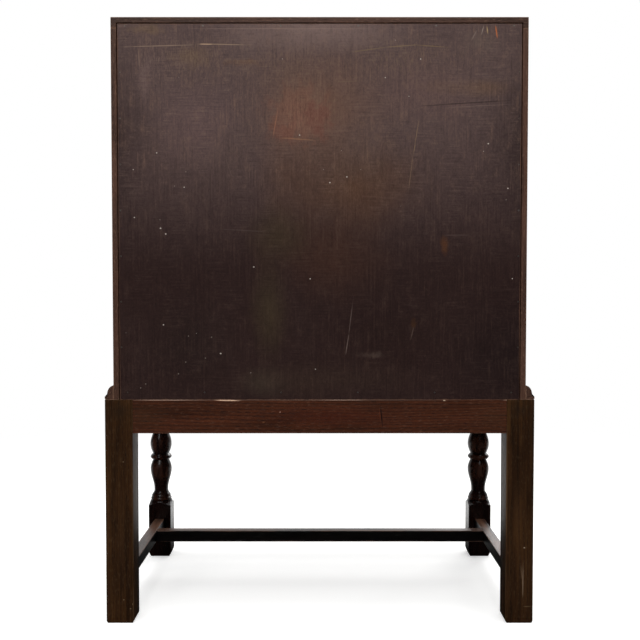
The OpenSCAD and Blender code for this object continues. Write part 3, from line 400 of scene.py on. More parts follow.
def panel_ply():
    """Old stained plywood, its grain upright: thin scuffed finish, a grey haze above that is partly its own
    and partly painted sheen, scratches and flecks.
    """
    material, tree = bare_material("stained_plywood_scuffed")
    place = board_place(tree)
    across = put(tree, "Mapping", {"Vector": place, "Rotation": (0.0, 0.0, math.pi / 2)})
    upright = streaks(tree, place, 60, 2.8, 4.0, 0.7)
    level = streaks(tree, across, 36, 2.6, 4.0, 0.7)
    haze = streaks(tree, place, 160, 110, 4.0, 0.6)
    mottle = streaks(tree, place, 26, 18, 5.0, 0.7)
    grit = streaks(tree, place, 4.2, 3.2, 3.0, 0.8)
    turns = streaks(tree, place, 70, 45, 3.0, 0.6)
    strokes = streaks(tree, place, 11, 2.2, 4.0, 0.7)
    crumbs = streaks(tree, place, 12, 12, 3.0)
    height = put(tree, "SeparateXYZ", [put(tree, "TexCoord").outputs["Object"]]).outputs[2]
    # painted sheen: the panel is made lighter towards its top, partly its own grey bloom, partly the sheen of
    # light from above
    upper = put(tree, "MapRange", [height, 0.61, 0.93], **EASED)
    colour = put(tree, "Mix", {0: upper, 6: "#281917", 7: "#4c3c3a"}, **COLOURS)
    colour = marked(tree, colour, PANEL_CLOUDS, haze)
    ragged = put(tree, "MapRange", [mottle, 0.38, 0.62])
    colour = marked(tree, colour, PANEL_PATCHES, ragged)
    # strokes along and across the grain take turns from place to place, and never cross as a weave
    standing = put(tree, "MapRange", [turns, 0.56, 0.47, 0.15], **EASED)
    lying = put(tree, "MapRange", [turns, 0.47, 0.56], **EASED)
    # the pale layers thin out down the panel, as its bloom and the painted sheen of light from above do
    bloom_and_sheen = put(tree, "MapRange", [height, 0.62, 0.92, 0.24, 1.05], **EASED)
    patchy = put(tree, "MapRange", [mottle, 0.35, 0.65, 0.7, 1.3], **EASED)
    bloom_and_sheen = put(tree, "Math", [bloom_and_sheen, patchy], **TIMES)
    # tint, strength, pattern, its values where it starts to show and shows in full, what holds it back
    for tint, strength, pattern, start, full, limits in (
            ("#63514a", 0.10, haze, 0.50, 0.75, [bloom_and_sheen]),
            ("#6e5648", 0.13, mottle, 0.50, 0.72, [bloom_and_sheen]),
            ("#73594a", 0.24, upright, 0.50, 0.70, [standing, bloom_and_sheen]),
            ("#6e5a50", 0.24, level, 0.50, 0.70, [lying, bloom_and_sheen]),
            ("#7a6250", 0.13, grit, 0.50, 0.68, [bloom_and_sheen]),
            ("#150d0c", 0.16, mottle, 0.48, 0.28, []),
            ("#120a09", 0.25, upright, 0.50, 0.30, [standing]),
            ("#120a09", 0.24, level, 0.50, 0.30, [lying]),
            ("#110a09", 0.22, grit, 0.50, 0.32, [])):
        where = put(tree, "MapRange", [pattern, start, full], **EASED)
        for limit in limits:
            where = put(tree, "Math", [where, limit], **TIMES)
        colour = layered(tree, colour, [(tint, strength, where)])
    beside = put(tree, "MapRange", [strokes, 0.44, 0.64, 1.6, 0.0], **EASED)
    colour = marked(tree, colour, PANEL_RUBS, beside)
    colour = marked(tree, colour, PANEL_SCRATCHES, crumbs)
    flecks = [("#b9aea4", 0.75, x, z, 2.3, 2.1, 0.5) for x, z in BRIGHT_FLECKS]
    flecks += [("#93877c", 0.60, x, z, 2.0, 1.6, 0.7, 30) for x, z in FAINT_FLECKS]
    colour = marked(tree, colour, flecks, crumbs)
    colour = layered(tree, colour, [
        ("#b9aea4", 0.75, pale_flecks(tree, place)), ("#6a4a38", 0.5, rubbed(tree, place, 1.2 * MM))])
    fibre = put(tree, "MapRange", [upright, 0.50, 0.70], **EASED)
    fibre = put(tree, "Math", [fibre, standing], **TIMES)
    dull = put(tree, "Math", [haze, 0.20, 0.36], **TIMES_PLUS)
    dull = put(tree, "Math", [fibre, 0.10, dull], **TIMES_PLUS)
    relief = put(tree, "Bump", {"Height": upright, "Distance": 0.06 * MM})
    shader = put(tree, "BsdfPrincipled", {
        "Base Color": colour, "Roughness": dull, "Normal": relief, "Specular IOR Level": 0.08})
    put(tree, "OutputMaterial", {"Surface": shader})
    return material


# What the years left on the back rail
RAIL_MARKS = [
    # worn arris along the top of the back rail, and the chip in it
    ("#6f584c", 0.55, 0, 400.4, 378, 1.0, 0.5),
    ("#c8a48a", 0.95, 163, 399.8, 36, 1.9, 0.5, -0.8),
    ("#a08676", 0.75, 270, 400.2, 104, 1.2, 0.5),
    ("#a58c7c", 0.65, -40, 400.4, 70, 1.2, 0.5),
    ("#b49a86", 0.65, -345, 400.2, 30, 1.3, 0.5),
    ("#c0a890", 0.8, -221, 399.8, 4, 1.6, 0.5),
    # red glow of the middle of the rail, brown at its ends
    ("#451606", 0.55, -20, 371, 240, 40, 1.0),
    ("#33200f", 0.5, 310, 371, 80, 50, 1.0),
    ("#33200f", 0.45, -310, 371, 80, 50, 1.0),
    # flecks, a bruise and the dark crack
    ("#b08a78", 0.7, 70, 379, 2.6, 1.5, 0.6, 20),
    ("#7a4f30", 0.5, 99, 361, 5, 2, 0.8, 15),
    ("#120705", 0.9, -110, 370, 2.2, 32, 0.5, 6),
    ("#5c2a16", 0.45, -107, 374, 1.6, 22, 0.6, 6),
    ("#1c0d07", 0.45, 170, 378, 14, 10, 0.9, 30),
]


# What they left on the back legs: dark tops, worn arrises, a long scratch on one and flecks on both
LEG_MARKS = [
    ("#1c130b", 0.55, -356, 382, 34, 26, 0.9),
    ("#1f160c", 0.5, 356, 380, 36, 28, 0.9),
    ("#523c26", 0.5, -333, 250, 2.2, 190, 0.5),
    ("#4a3522", 0.4, 333, 230, 2.2, 150, 0.5),
    ("#6f5d4b", 0.75, -363, 77, 1.5, 44, 0.4),
    ("#5e4a38", 0.6, -360, 92, 1.3, 20, 0.4, 3),
    ("#9a8874", 0.8, -365, 136, 2.6, 2.0, 0.5),
    ("#5e4c36", 0.6, -371, 30, 12, 1.3, 0.5),
    ("#7a6650", 0.7, 350, 42, 2.4, 1.8, 0.5, 20),
    ("#7a6650", 0.7, 338, 26, 2.8, 1.8, 0.5),
    ("#6a563f", 0.6, 334, 34, 1.6, 3.4, 0.5, 10),
    ("#7a6650", 0.6, 349, 290, 1.8, 1.8, 0.5),
    ("#3a2410", 0.5, 352, 150, 14, 130, 0.9),
    ("#34200e", 0.45, -352, 200, 14, 120, 0.9),
]


def marked_oak(material, marks):
    """Lays marks over the stain of an oak."""
    tree, entry, colour = base_colour(material)
    breaking = streaks(tree, board_place(tree), 30, 4, 3.0)
    colour = marked(tree, colour, marks, breaking)
    tree.links.new(colour.outputs[2], entry)
    return material


# Stains of the bare oak inside: in its grain, between, paler and where it is rubbed
UNSTAINED = ("#5a3f26", "#8a6a48", "#a8875f", "#b79a74")
# Drawer dovetails, seen from the side: their pitch, half width of a pin at its root, its taper
PIN_PITCH = 24 * MM
PIN_HALF = 3.4 * MM
PIN_TAPER = 6.0
# Thickness of the boards that the sides are dovetailed to, and where the sides' inner faces lie
FRONT_LAP = 12 * MM
BACK_T = 9 * MM
SIDE_IN = 336.4 * MM


def dovetailed_oak():
    """Bare oak of the drawer boxes, the pins of front and back showing between the tails of the sides.

    A pin is where the distance from the nearest multiple of the pitch is under its half width, which
    narrows with the distance past the root.
    """
    material = stained_oak("oak_unstained_dovetailed", *UNSTAINED, gloss=0.62)
    tree, entry, colour = base_colour(material)
    grain = put(tree, "Attribute", attribute_name="grain").outputs["Vector"]
    place = put(tree, "TexCoord").outputs["Object"]
    along, across, _ = put(tree, "SeparateXYZ", [grain]).outputs
    from_end = from_faces(tree)[0]
    from_pin = put(tree, "Math", [across, PIN_PITCH / 2], operation="PINGPONG")
    sideways = put(tree, "VectorMath", [place], operation="ABSOLUTE")
    sideways = put(tree, "SeparateXYZ", [sideways]).outputs[0]
    beside = put(tree, "Math", [sideways, SIDE_IN], operation="GREATER_THAN")
    for depth, end, tint in ((FRONT_LAP, "LESS_THAN", "#3b2315"), (BACK_T, "GREATER_THAN", "#6d4d30")):
        root = PIN_HALF - depth / PIN_TAPER
        width = put(tree, "Math", [from_end, 1 / PIN_TAPER, root], **TIMES_PLUS)
        inside = put(tree, "Math", [width, from_pin], operation="SUBTRACT")
        pin = put(tree, "MapRange", [inside, 0.0, 0.3 * MM])
        joint = put(tree, "Math", [from_end, depth], operation="LESS_THAN")
        at_end = put(tree, "Math", [along, 0.0], operation=end)
        for limit in (joint, beside, at_end):
            pin = put(tree, "Math", [pin, limit], **TIMES)
        colour = layered(tree, colour, [(tint, 0.9, pin)])
    tree.links.new(colour.outputs[2], entry)
    return material


def old_metal(name, blotch, uneven, covered, bare, shows, dulls, pitting, metallic=1.0):
    """Old metal with tarnish or rust in soft blotches, rubbed clean on its crests.

    Covered and bare are its two colours; shows is the blotches' values where the bare metal starts to
    show and shows in full, and dulls those between which it turns dull.
    """
    material, tree = bare_material(name)
    place = put(tree, "TexCoord").outputs["Object"]
    blotches = put(tree, "TexNoise", {
        "Vector": place, "Scale": 1 / blotch, "Detail": 4.0, "Roughness": uneven})
    crest = put(tree, "Attribute", attribute_name="crest").outputs["Fac"]
    clean = put(tree, "MapRange", [blotches, shows[0], shows[1]], **EASED)
    bright = put(tree, "Math", [crest, 0.4, clean], use_clamp=True, **TIMES_PLUS)
    colour = put(tree, "Mix", {0: bright, 6: covered, 7: bare}, **COLOURS)
    dull = put(tree, "MapRange", [blotches, dulls[0], dulls[1]], **EASED)
    relief = put(tree, "Bump", {"Height": blotches, "Distance": pitting})
    shader = put(tree, "BsdfPrincipled", {
        "Base Color": colour, "Roughness": dull, "Normal": relief, "Metallic": metallic})
    put(tree, "OutputMaterial", {"Surface": shader})
    return material


# Meshes


def loose_parts(count, edges):
    """Label of each vertex, the same for vertices that edges join: labels sink to the lowest neighbour's."""
    labels = np.arange(count)
    while True:
        lowest = np.minimum(labels[edges[:, 0]], labels[edges[:, 1]])
        sunk = labels.copy()
        np.minimum.at(sunk, edges[:, 0], lowest)
        np.minimum.at(sunk, edges[:, 1], lowest)
        if np.array_equal(sunk, labels):
            return labels
        labels = sunk


def read_points(mesh):
    """Vertex positions of a mesh, as an array of rows."""
    flat = np.empty(len(mesh.vertices) * 3)
    mesh.vertices.foreach_get("co", flat)
    return flat.reshape(-1, 3)


def mesh_of(bm, name):
    """Mesh of that name from a bmesh, which is done with."""
    mesh = bpy.data.meshes.new(name)
    bm.to_mesh(mesh)
    bm.free()
    return mesh


def store(mesh, name, values):
    """Keeps one vector or number a vertex in the mesh, for its material to read."""
    values = np.asarray(values, dtype=np.float32)
    if values.ndim == 2:
        mesh.attributes.new(name, "FLOAT_VECTOR", "POINT").data.foreach_set("vector", values.ravel())
    else:
        mesh.attributes.new(name, "FLOAT", "POINT").data.foreach_set("value", values)


# Least and greatest shift of a board's pattern along, across and through it, in metres
SHIFTS = ((-4, 0.02, 0.035), (4, 0.09, 0.11))


def grain_along(mesh, name, axis=None, turn=0.0, slant=None, crest=None):
    """Gives each board of a mesh its own grain: place in the board, half sizes and a shift of its own.

    The grain runs along the longest side of each loose part, or along the given axis, in a frame
    turned about X; all are linear in position, so that they hold all over a large face.
    """
    points = read_points(mesh)
    upright = np.array(Matrix.Rotation(-turn, 3, "X")) if turn else np.eye(3)
    local = points @ upright.T
    edges = np.empty(len(mesh.edges) * 2, dtype=np.int64)
    mesh.edges.foreach_get("vertices", edges)
    labels = loose_parts(len(points), edges.reshape(-1, 2))
    grain, half, shift = np.zeros_like(points), np.zeros_like(points), np.zeros_like(points)
    for index, label in enumerate(np.unique(labels)):
        mine = labels == label
        low, high = local[mine].min(axis=0), local[mine].max(axis=0)
        middle, size = (low + high) / 2, (high - low) / 2
        order = list(np.argsort(-size))
        if axis is not None:
            order = [axis] + [i for i in order if i != axis]
        random = np.random.default_rng(zlib.crc32(f"{name}{index}".encode()))
        grain[mine] = (local[mine] - middle)[:, order]
        half[mine] = size[order]
        shift[mine] = random.uniform(*SHIFTS) * random.choice([-1, 1], 3)
    store(mesh, "grain", grain)
    store(mesh, "half", half)
    store(mesh, "shift", shift)
    store(mesh, "slant", np.ones(len(points)) if slant is None else slant(points))
    store(mesh, "crest", np.zeros(len(points)) if crest is None else crest)


def new_piece(mesh, material, node=None, body=None, angle=18):
    """Shades a finished mesh, puts it in the scene and says what it rides on and which node it stands for.

    A face whose corner normals lean away from its own by more than the angle is shaded flat.
    """
    mesh.polygons.foreach_set("use_smooth", np.ones(len(mesh.polygons), dtype=bool))
    mesh.set_sharp_from_angle(angle=math.radians(angle))
    first = np.empty(len(mesh.polygons), dtype=np.int64)
    mesh.polygons.foreach_get("loop_start", first)
    faces, corners = np.empty(len(mesh.polygons) * 3), np.empty(len(mesh.loops) * 3)
    mesh.polygons.foreach_get("normal", faces)
    mesh.corner_normals.foreach_get("vector", corners)
    counts = np.diff(np.append(first, len(mesh.loops)))
    agreed = (corners.reshape(-1, 3) * np.repeat(faces.reshape(-1, 3), counts, axis=0)).sum(axis=1)
    even = np.minimum.reduceat(agreed, first) > math.cos(math.radians(angle))
    mesh.polygons.foreach_set("use_smooth", even)
    mesh.materials.clear()
    mesh.materials.append(material)
    piece = in_scene(bpy.data.objects.new(mesh.name, mesh))
    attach(piece, body or body_of(node))
    if node:
        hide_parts(node)


def body_of(node):
    """Name of the body that a CAD node belongs to."""
    return next(body for body, nodes in frame["record"]["behaviour"]["bodies"].items() if node in nodes)


# Bends between faces: below the first they are one flat face, above the second the edge is an arris
FLAT = math.radians(1)
SHARP = math.radians(25)


def eased_mesh(node, ease, shortest=6 * MM):
    """Copy of a CAD node's mesh: doubles merged, flat faces joined, long outer arrises rounded."""
    bm = bmesh.new()
    bm.from_mesh(frame["nodes"][node].data)
    bmesh.ops.remove_doubles(bm, verts=bm.verts, dist=0.005 * MM)
    bmesh.ops.dissolve_limit(bm, angle_limit=FLAT, verts=bm.verts, edges=bm.edges)
    arrises = [
        e for e in bm.edges
        if e.is_manifold and e.calc_length() > shortest and e.calc_face_angle_signed(0) > SHARP
    ]
    if ease and arrises:
        bmesh.ops.bevel(bm, geom=arrises, offset=ease, offset_type="OFFSET", segments=2,
                        profile=0.5, affect="EDGES", clamp_overlap=True)
    bmesh.ops.triangulate(bm, faces=[f for f in bm.faces if len(f.verts) > 4])
    return mesh_of(bm, node + "_finished")


def board(node, material, slot, ease, **grain):
    """Finished copy of a wooden CAD node, its arrises eased and its grain laid."""
    mesh = eased_mesh(node, ease)
    grain_along(mesh, node, **grain)
    new_piece(mesh, material, node)


def fitting_of_metal(node, material, ease):
    """Finished copy of a metal CAD node, its filed arrises eased."""
    mesh = eased_mesh(node, ease, shortest=1.0 * MM)
    store(mesh, "crest", np.zeros(len(mesh.vertices)))
    new_piece(mesh, material, node, angle=35)


def rings_mesh(name, rings):
    """Closed surface through rows of points: each row a loop, joined to the next, the ends fanned shut."""
    rows, columns = rings.shape[:2]
    points = np.concatenate([rings.reshape(-1, 3), [rings[0].mean(axis=0), rings[-1].mean(axis=0)]])
    r, c = np.meshgrid(np.arange(rows - 1) * columns, np.arange(columns), indexing="ij")
    after = (c + 1) % columns
    walls = np.stack([r + c, r + after, r + columns + after, r + columns + c], -1).reshape(-1, 4)
    c, after, top = c[0], after[0], (rows - 1) * columns
    foot = np.stack([after, c, np.full(columns, rows * columns)], -1)
    head = np.stack([top + c, top + after, np.full(columns, rows * columns + 1)], -1)
    mesh = bpy.data.meshes.new("grid")
    mesh.from_pydata(points.tolist(), [], walls.tolist() + foot.tolist() + head.tolist())
    bm = bmesh.new()
    bm.from_mesh(mesh)
    bpy.data.meshes.remove(mesh)
    bmesh.ops.remove_doubles(bm, verts=bm.verts, dist=0.001 * MM)
    bmesh.ops.recalc_face_normals(bm, faces=bm.faces)
    return mesh_of(bm, name)


def arc(middle, radii, start, end, steps):
    """Points round part of an ellipse, from one angle to the other."""
    a = np.linspace(start, end, steps)
    return np.array(middle) + np.array(radii) * np.stack([np.cos(a), np.sin(a)], -1)


def swung(place, u, v, out, reach, height):
    """Rows of points round an axis through a place, each row evenly spaced round a whole turn.

    A point lies off the axis by its reach times the cosine of its angle along u and the sine along v,
    and by its height along the axis.
    """
    a = np.linspace(0, 2 * np.pi, reach.shape[1], endpoint=False)
    height = np.broadcast_to(height, reach.shape)
    parts = ((reach * np.cos(a), u), (reach * np.sin(a), v), (height, out))
    return np.array(place) + sum(size[..., None] * np.array(axis) for size, axis in parts)


# Front legs

# Sizes of a front leg in mm: its square and height, its foot block, where the upper block starts, the
# shoulders where the lathe cuts the blocks' corners, the bevel round its foot and the ease round its top
LEG_SIDE = 49.0
LEG_H = 401.0
FOOT_H = 123.5
BLOCK_FOOT = 307.0
SHOULDER_H = 9.0
SHOULDER_OPEN = 12.0
SHOULDER_LEAN = 2.5
FOOT_BEVEL_W = 4.0
FOOT_BEVEL_H = 11.0
TOP_EASE = 0.8
# Facets round a leg, and how sharp the arrises of its square and of the lathe's cuts are, as powers
LEG_FACETS = 192
SQUARE_POWER = 36
CUT_POWER = 60
# Radii in mm between which the turning's crests are rubbed bare
CREST_R = (18.5, 23.0)
# Radius, height over the foot block and whether it is an arris, for each place of the turning
TURNING = [
    (20.4, 1.0, True), (22.8, 4.2, False), (20.8, 7.6, True), (21.2, 8.8, False), (15.4, 22.0, False),
    (15.4, 26.0, False), (23.4, 70.5, False), (17.6, 91.0, True), (23.4, 97.5, False),
    (17.7, 105.0, True), (23.5, 126.5, False), (17.4, 151.0, True), (22.8, 157.0, False),
    (17.5, 163.0, True), (22.0, 179.5, False),
]


def share(t, from_sharp, to_sharp):
    """Share of the way from one radius to the next: straight, a quarter sine or half a cosine."""
    if from_sharp:
        return t if to_sharp else np.sin(np.pi / 2 * t)
    return 1 - np.cos(np.pi / 2 * t) if to_sharp else (1 - np.cos(np.pi * t)) / 2


def turned_profile(stations, steps):
    """Radius and height up a turning, each place joined to the next by its share of the way."""
    t = np.linspace(0, 1, steps, endpoint=False)
    rows = [
        np.stack([a[0] + (b[0] - a[0]) * share(t, a[2], b[2]), a[1] + (b[1] - a[1]) * t], -1)
        for a, b in zip(stations[:-1], stations[1:])
    ]
    return np.concatenate(rows + [np.array([stations[-1][:2]])])


def lesser(a, b):
    """The lesser of two radii, its arris eased: the power mean of the two with a large negative power."""
    return (a ** -CUT_POWER + b ** -CUT_POWER) ** (-1.0 / CUT_POWER)


def leg_profile():
    """Rows of a front leg from the floor up, as (height, half width of its square, radius of its turning).

    A block's row has a finite square; where the lathe cuts its corners, the turning's radius opens as a
    quarter ellipse from the shoulder. A turned row's square is far larger than its radius.
    """
    far = 4 * LEG_SIDE
    mid = LEG_SIDE / 2
    bevel = np.linspace(0, 1, 7)
    foot = [(FOOT_BEVEL_H * t, mid - FOOT_BEVEL_W * (1 - t) ** 1.3, far) for t in bevel]
    plain = [(z, mid, far) for z in np.linspace(FOOT_BEVEL_H + 6, FOOT_H - SHOULDER_H - 2, 12)]
    opening = np.linspace(1, 0, 15)
    opened = mid - 1 + SHOULDER_OPEN * (1 - np.sqrt(1 - opening ** 2)) + SHOULDER_LEAN * opening
    shoulder = [(FOOT_H - SHOULDER_H * t, mid, r) for t, r in zip(opening, opened)]
    turned = [(FOOT_H + h, far, r) for r, h in turned_profile(TURNING, 10)]
    turned = [(FOOT_H, far, TURNING[0][0])] + turned + [(BLOCK_FOOT, far, TURNING[-1][0])]
    upper = [(BLOCK_FOOT + FOOT_H - z, s, r) for z, s, r in reversed(shoulder)]
    block = [(z, mid, far) for z in np.linspace(BLOCK_FOOT + SHOULDER_H + 2, LEG_H - TOP_EASE, 10)]
    block += [(LEG_H, mid - TOP_EASE, far)]
    return np.array(foot + plain + shoulder + turned + upper + block)


def front_leg(side, material):
    """Front leg as one polar surface: at each height the lesser of a square and a circle about the middle."""
    node = f"leg_front_{side}"
    low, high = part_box(node)
    middle = (low + high) / 2
    height, square, radius = (leg_profile() * MM).T[:, :, None]
    a = np.linspace(0, 2 * np.pi, LEG_FACETS, endpoint=False)
    flat = (np.abs(np.cos(a)) ** SQUARE_POWER + np.abs(np.sin(a)) ** SQUARE_POWER) ** (-1.0 / SQUARE_POWER)
    reach = lesser(square * flat, radius)
    rings = swung((middle.x, middle.y, 0), (1, 0, 0), (0, 1, 0), (0, 0, 1), reach, height)
    mesh = rings_mesh(node + "_turned", rings)
    points = read_points(mesh)
    from_axis = np.hypot(points[:, 0] - middle.x, points[:, 1] - middle.y)
    in_turning = (points[:, 2] > (FOOT_H + 1) * MM) & (points[:, 2] < (BLOCK_FOOT - 1) * MM)
    crest = np.where(in_turning, np.interp(from_axis / MM, CREST_R, (0, 1)), 0)
    grain_along(mesh, node, axis=2, crest=crest)
    new_piece(mesh, material, node, angle=40)


# Base moulding

# Its height and width, those of its fillet, the radius of its cove, and how high its rubbed arris lies
# and how far the rubbing reaches, in mm
MOULDING_H = 25.0
MOULDING_W = 15.5
FILLET_H = 5.5
FILLET_W = 1.2
COVE_R = 3.0
RUBBED_H = 4.2
RUBBED_REACH = 1.6


def moulding_outline():
    """Section of the base moulding, out from the carcase and up: an ovolo, a cove and a fillet."""
    ovolo_w, ovolo_h = MOULDING_W - FILLET_W - COVE_R, MOULDING_H - FILLET_H - COVE_R
    ovolo = arc((0, FILLET_H + COVE_R), (ovolo_w, ovolo_h), np.pi / 2, 0, 17)
    cove = arc((ovolo_w + COVE_R, FILLET_H + COVE_R), (COVE_R, COVE_R), np.pi, 1.5 * np.pi, 9)
    fillet = [(15.2, 5.5), (15.4, 5.4), (15.5, 5.1), (15.5, 2.3), (15.4, 1.9), (14.2, 0.3), (13.8, 0.0)]
    return np.concatenate([[(0.0, 0.0)], ovolo, cove[1:], fillet]) * MM


def moulding(node, stations, material):
    """Length of base moulding: its section carried from one end to the other, each end mitred or square."""
    outline = moulding_outline()
    rings = np.array([
        np.array(origin) + outline[:, :1] * np.array(out) + outline[:, 1:] * np.array((0, 0, 1))
        for origin, out in stations
    ])
    mesh = rings_mesh(node + "_run", rings)
    height = read_points(mesh)[:, 2] / MM
    crest = np.clip(1 - np.abs(height - height.min() - RUBBED_H) / RUBBED_REACH, 0, 1)
    grain_along(mesh, node, crest=crest)
    new_piece(mesh, material, node, angle=35)


def base_mouldings(material):
    """The three lengths round the carcase's foot, mitred at its front corners."""
    low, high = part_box("base_moulding_front")
    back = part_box("base_moulding_left")[1].y
    x, y, z = high.x - MOULDING_W * MM, high.y, low.z
    for side, s in zip(SIDES, (-1, 1)):
        ends = [((s * x, back, z), (s, 0, 0)), ((s * x, y, z), (s, -1, 0))]
        moulding(f"base_moulding_{side}", ends, material)
    moulding("base_moulding_front", [((-x, y, z), (-1, -1, 0)), ((x, y, z), (1, -1, 0))], material)


# Handles and knobs

# A bail's thickness and drop, its large bends, its ends in the posts and its small bends, in mm
BAIL_D = 5.0
BAIL_DROP = 32.0
BAIL_BEND = 13.0
PIVOT_D = 3.2
PIVOT_L = 11.6
PIVOT_BEND = 3.0
# How much of a bail is thin in the eye and tapers after it, and how much its middle swells and the bead
# there stands out, each with its reach, in mm
EYE_L, TAPER_L = 9, 5
SWELL, SWELL_REACH = 0.35, 24
BEAD, BEAD_REACH = 0.45, 3.4
# How far out a knob starts to be rubbed bright and is bright, in mm
KNOB_RUBBED = (4, 12)
# Facets round a bail, a knob and a screw head
BAIL_FACETS, KNOB_FACETS, SCREW_FACETS = 24, 64, 72


def bail_line(arm_x):
    """Right half of a bail's middle line, (x, z) in mm: pivot, small bend, arm, large bend, half the bar."""
    low = BAIL_BEND - BAIL_DROP
    elbow = arc((arm_x - PIVOT_BEND, -PIVOT_BEND), (PIVOT_BEND, PIVOT_BEND), np.pi / 2, 0, 9)
    bend = arc((arm_x - BAIL_BEND, low), (BAIL_BEND, BAIL_BEND), 0, -np.pi / 2, 17)
    pivot = np.linspace((arm_x - PIVOT_L, 0), (arm_x - PIVOT_BEND, 0), 8)
    arm = np.linspace((arm_x, -PIVOT_BEND), (arm_x, low), 8)
    bar = np.linspace((arm_x - BAIL_BEND, -BAIL_DROP), (0, -BAIL_DROP), 24)
    return np.concatenate([pivot, elbow[1:], arm[1:], bend[1:], bar[1:]])


def bail_thickness(half):
    """Radius along half a bail: thin in the eye, full on the arm, swelling into a bead in the middle."""
    step = np.hypot(*np.diff(half, axis=0).T)
    run = np.concatenate([[0], np.cumsum(step)])
    left = run[-1] - run
    arm = PIVOT_D / 2 + (BAIL_D - PIVOT_D) / 2 * np.clip((run - EYE_L) / TAPER_L, 0, 1)
    return arm + SWELL * np.exp(-(left / SWELL_REACH) ** 2) + BEAD * np.exp(-(left / BEAD_REACH) ** 4)


def bail(node, material):
    """Swinging bail: circles carried along its middle line, which lies in a plane across the desk."""
    low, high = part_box(node)
    centre = (low + high) / 2
    arm_x = (high.x - low.x) / 2 / MM - BAIL_D / 2
    axis_z = low.z / MM + BAIL_DROP + BAIL_D / 2
    half = bail_line(arm_x)
    line = np.concatenate([half, (half * (-1, 1))[-2::-1]])
    thick = bail_thickness(half)
    thick = np.concatenate([thick, thick[-2::-1]])[:, None]
    along = np.gradient(line, axis=0)
    along /= np.hypot(*along.T)[:, None]
    a = np.linspace(0, 2 * np.pi, BAIL_FACETS, endpoint=False)
    x = line[:, :1] + thick * np.cos(a) * along[:, 1:]
    z = line[:, 1:] - thick * np.cos(a) * along[:, :1]
    y = thick * np.sin(a)
    rings = np.stack([centre.x + x * MM, centre.y + y * MM, (axis_z + z) * MM], -1)
    mesh = rings_mesh(node + "_bar", rings)
    store(mesh, "crest", (read_points(mesh)[:, 1] < centre.y) * 0.8)
    new_piece(mesh, material, node, angle=60)


def knob_profile(d, reach):
    """Radius and height out of a turned knob's foot: a flange, a neck and a domed head."""
    dome = arc((0, reach - 0.38 * d), (0.5 * d, 0.38 * d), -0.9, np.pi / 2, 18)
    flange = [(0.001, 0.0), (0.36 * d, 0.0), (0.40 * d, 0.3), (0.40 * d, 1.2), (0.37 * d, 1.6)]
    neck = [(0.27 * d, 2.0), (0.22 * d, 0.20 * d), (0.21 * d, 0.30 * d)]
    return np.concatenate([flange, neck, dome[1:], [(0.001, reach)]])


def loper_knob(node, material):
    """Turned knob at the end of a loper: its profile swung round a line along Y."""
    low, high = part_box(node)
    middle = (low + high) / 2
    d = (high.x - low.x) / MM
    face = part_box(node.replace("_knob", ""))[0].y
    radius, height = (knob_profile(d, (face - low.y) / MM) * MM).T[:, :, None]
    reach = np.repeat(radius, KNOB_FACETS, axis=1)
    rings = swung((middle.x, face, middle.z), (1, 0, 0), (0, 0, 1), (0, -1, 0), reach, height)
    mesh = rings_mesh(node + "_turned", rings)
    store(mesh, "crest", np.interp((face - read_points(mesh)[:, 1]) / MM, KNOB_RUBBED, (0, 1)))
    new_piece(mesh, material, node, angle=45)


# Screws

# Radius of a head, half width of its slot, run of the slot's walls, height of the slot's floor over the
# metal, how far the head is sunk in it and height of its dome, in mm; the lock's screws lie flush, clear
# of the stop that the closed fall meets
SCREW_R = 2.6
SLOT_HALF = 0.45
SLOT_WALL = 0.15
SLOT_FLOOR = 0.04
HEAD_SUNK = 0.4
HINGE_DOME = 0.35
LOCK_DOME = 0.08
# Where the screws are in mm: half width of a hinge, places along it, and distance in from the edges
HINGE_HALF = 30.0
HINGE_SCREWS = [-20.0, 0.0, 20.0]
HINGE_SCREW_IN = 13.0
LOCK_SCREW_IN = 4.5


def screw_heads(name, places, out, dome, body, material):
    """Slotted heads of countersunk screws, in one piece.

    A head's height is a low dome, which falls with the square of the distance from its middle, less the
    slot where the distance from a line through the middle is small. Its slot lies as the screw was left.
    """
    out, level = Vector(out).normalized(), Vector((1.0, 0.0, 0.0))
    radius = np.concatenate([[0.8, 1.0], np.linspace(0.97, 0.02, 14)])[:, None] * SCREW_R
    a = np.linspace(0, 2 * np.pi, SCREW_FACETS, endpoint=False)
    reach = np.repeat(radius, len(a), axis=1) * MM
    random = np.random.default_rng(zlib.crc32(name.encode()))
    bm = bmesh.new()
    for place in places:
        turn = random.uniform(0, np.pi)
        cut = np.clip((np.abs(radius * np.sin(a + turn)) - SLOT_HALF) / SLOT_WALL, 0, 1)
        height = SLOT_FLOOR + dome * (1 - (radius / SCREW_R) ** 2) * cut
        height[0] = -HEAD_SUNK
        height[1] = 0.0
        head = rings_mesh("head", swung(place, level, out.cross(level), out, reach, height * MM))
        bm.from_mesh(head)
        bpy.data.meshes.remove(head)
    mesh = mesh_of(bm, name)
    store(mesh, "crest", np.zeros(len(mesh.vertices)))
    new_piece(mesh, material, body=body, angle=40)


